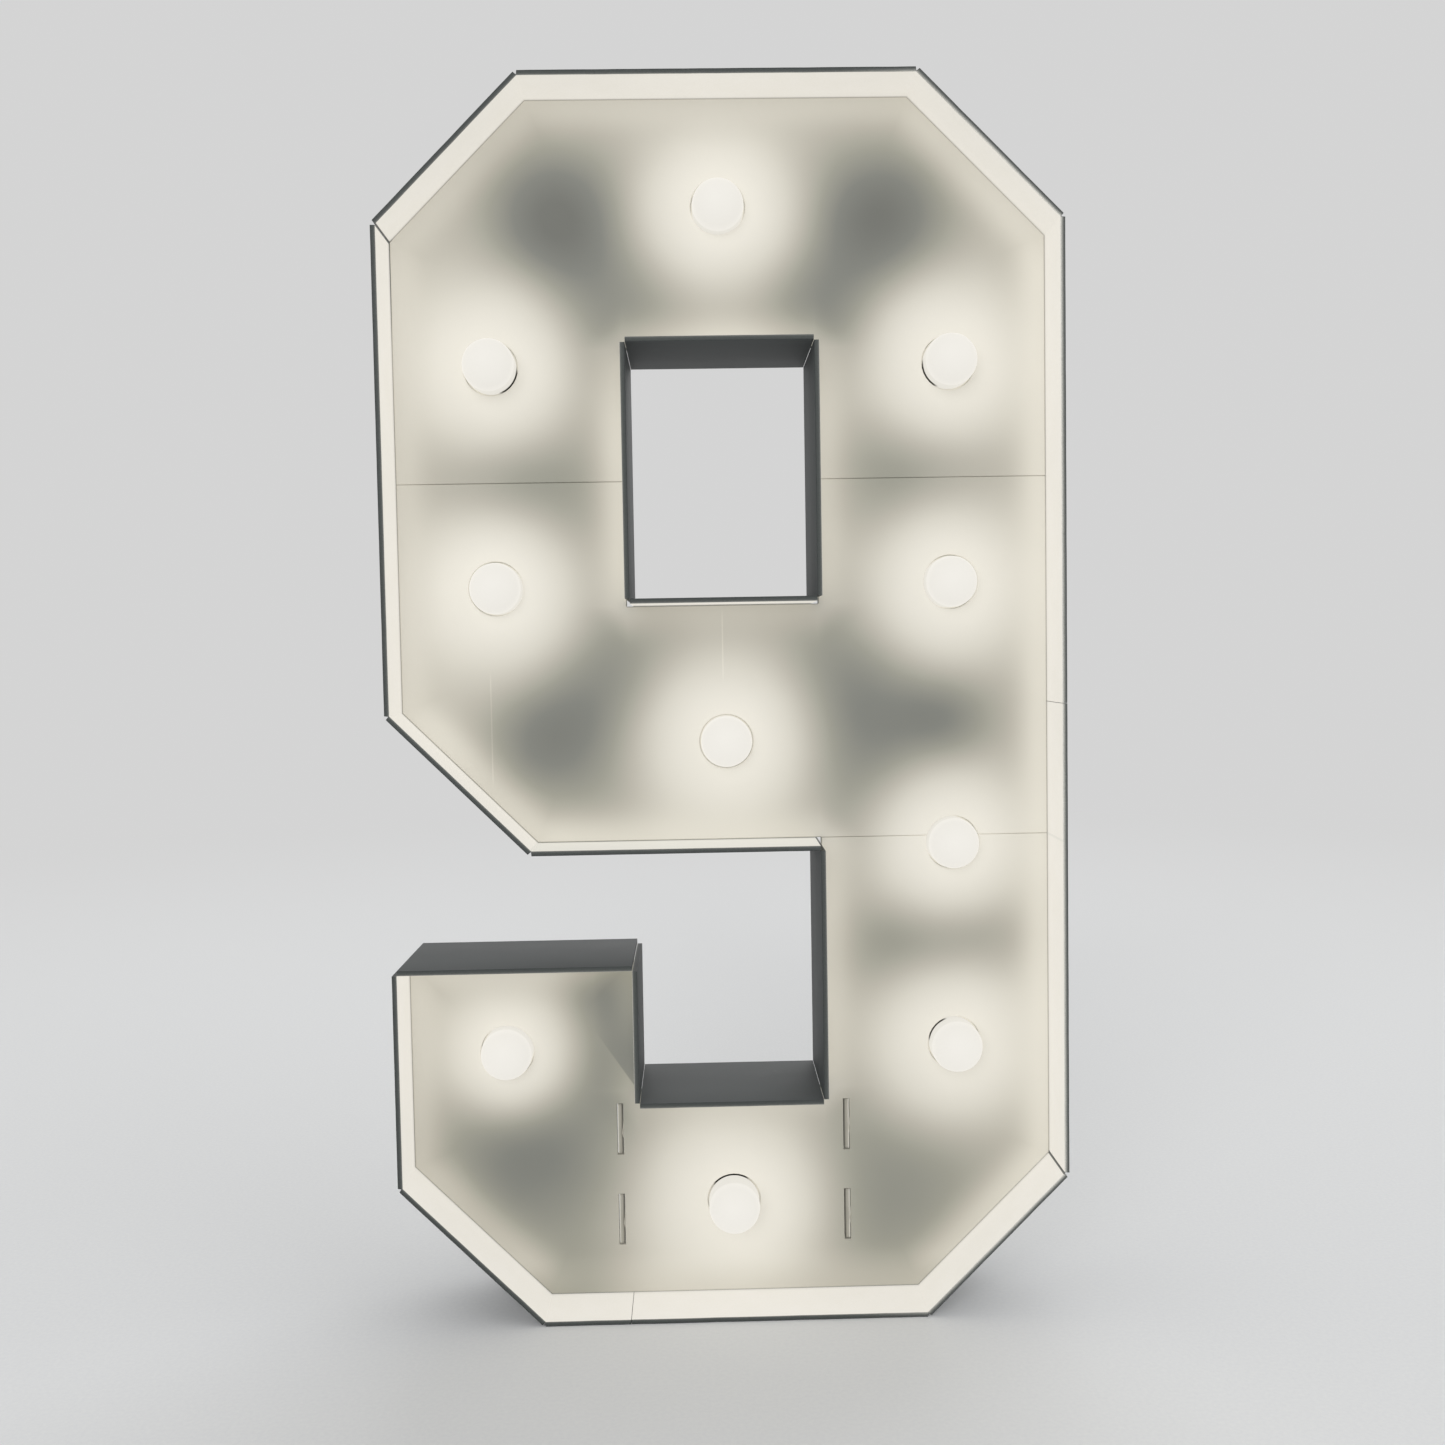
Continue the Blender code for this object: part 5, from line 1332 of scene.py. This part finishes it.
def cell_profile():
    """Half of a cell from its flat end to its button: recessed end, rolled sleeve, shoulder, button."""
    r, b, top = CELL_RADIUS, BUTTON_RADIUS, SHOULDER
    return [
        (0, 0.0001), (r - 0.0022, 0.0001), (r - 0.0020, 0.0003), (r - 0.0012, 0.0003), (r - 0.0010, 0),
        (r - 0.0004, 0), (r - 0.0001, 0.0003), (r, 0.0008), (r, top - 0.0008), (r - 0.0001, top - 0.0003),
        (r - 0.0004, top), (r - 0.0012, top), (r - 0.0014, top - 0.0003), (b + 0.0006, top - 0.0003),
        (b + 0.0003, top - 0.0001), (b, top + 0.0002), (b, CELL_LENGTH - 0.0002), (b - 0.0002, CELL_LENGTH),
        (0, CELL_LENGTH),
    ]


def cell_finish():
    paint = material("cell_sleeve", {"Coat Weight": 0.5, "Coat Roughness": 0.12})
    where = paint.place()
    height = paint.notes()[2]
    shrink = paint.noise(where, SHRINK_SCALE, 4.0)
    sleeve = (height / CELL_LENGTH + 0.002 * (shrink - 0.5)).ramp(
        (0.0, (40, 52, 84)), (0.70, (46, 60, 98)), (0.702, (196, 199, 203)), (0.73, (196, 199, 203)),
        (0.732, (58, 96, 134)), (1.0, (64, 104, 142)),
    )
    metal = (1 - height.rise(*BARE_FOOT)).most(height.rise(*BARE_TOP))
    scratches = paint.noise(where, SCRATCH_SCALE, 4.0, 0.7)
    colour = paint.mix(metal, sleeve, scratches.between((196, 197, 196), (222, 223, 222)))
    sockets = {"Base Color": colour, "Metallic": metal, "Roughness": 0.24 + 0.14 * scratches}
    return paint.finish(sockets, shrink, SLEEVE_BUMP)


def steel_finish():
    """Plated steel, brushed across its height and a little tarnished."""
    paint = material("plated_steel", {"Metallic": 1.0})
    where = paint.place()
    drawn = paint.node("ShaderNodeMapping", sockets={0: where, 3: BRUSHING})
    brushed = paint.noise(drawn, 1.0, 4.0, 0.7)
    tarnish = paint.noise(where, TARNISH_SCALE, 5.0).rise(*TARNISH)
    steel = paint.mix(0.35 * tarnish, brushed.between((186, 187, 184), (214, 215, 212)), tint(138, 134, 124))
    return paint.finish({"Base Color": steel, "Roughness": 0.22 + 0.2 * brushed}, brushed, STEEL_BUMP)


def make_cells(finish):
    for number in (1, 2, 3):
        low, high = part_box(f"cell_{number}")
        start, axes = (low.z, {}) if number % 2 else (high.z, TURNED_OVER)
        place = ((low.x + high.x) / 2, (low.y + high.y) / 2, start)
        shell = moved(turned(cell_profile(), CELL_SEGMENTS), place, **axes)
        keep(collect(f"battery_cell_{number}", [shell]), [finish], f"cell_{number}")


def coil():
    """A wire's circle along a helix: place = (r cos t, r sin t, rise), with r narrowing as it rises."""
    t = np.linspace(0, 2 * np.pi * SPRING_TURNS, TURN_STEPS * SPRING_TURNS)
    share = t / t[-1]
    radius = SPRING_BASE + (SPRING_TIP - SPRING_BASE) * share
    rise = PLATE_THICKNESS + WIRE_RADIUS + (SPRING_LENGTH - 2 * WIRE_RADIUS) * share
    section = np.stack([np.cos(ring(WIRE_SEGMENTS)), np.sin(ring(WIRE_SEGMENTS))], axis=1) * WIRE_RADIUS
    return swept(np.stack([radius * np.cos(t), radius * np.sin(t), rise], axis=1), section, up=(0, 0, 1))


def make_contacts(finish):
    """A plate at each end of the cells. Where a cell's flat end is, a spring stands on it."""
    for name, cell in CONTACTS:
        low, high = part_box("contact_" + name)
        half = (high.y - low.y) / 2
        outline = softened_corners(oblong((low.x, -half), (high.x, half)), PLATE_CORNER)
        shells = [moulded(outline, plate_edge(PLATE_THICKNESS, PLATE_SOFT))]
        if cell:
            cell_low, cell_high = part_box(f"cell_{cell}")
            shells.append(moved(coil(), ((cell_low.x + cell_high.x) / 2, 0, 0)))
        z, axes = (high.z, TURNED_OVER) if name.startswith("top") else (low.z, {})
        shells = [moved(shell, (0, (low.y + high.y) / 2, z), **axes) for shell in shells]
        keep(collect("plate_" + name, shells), [finish], "contact_" + name)


plated_steel = steel_finish()
make_cells(cell_finish())
make_contacts(plated_steel)
softened("switch_body", "switch_frame", SWITCH_EDGE, plated_steel)
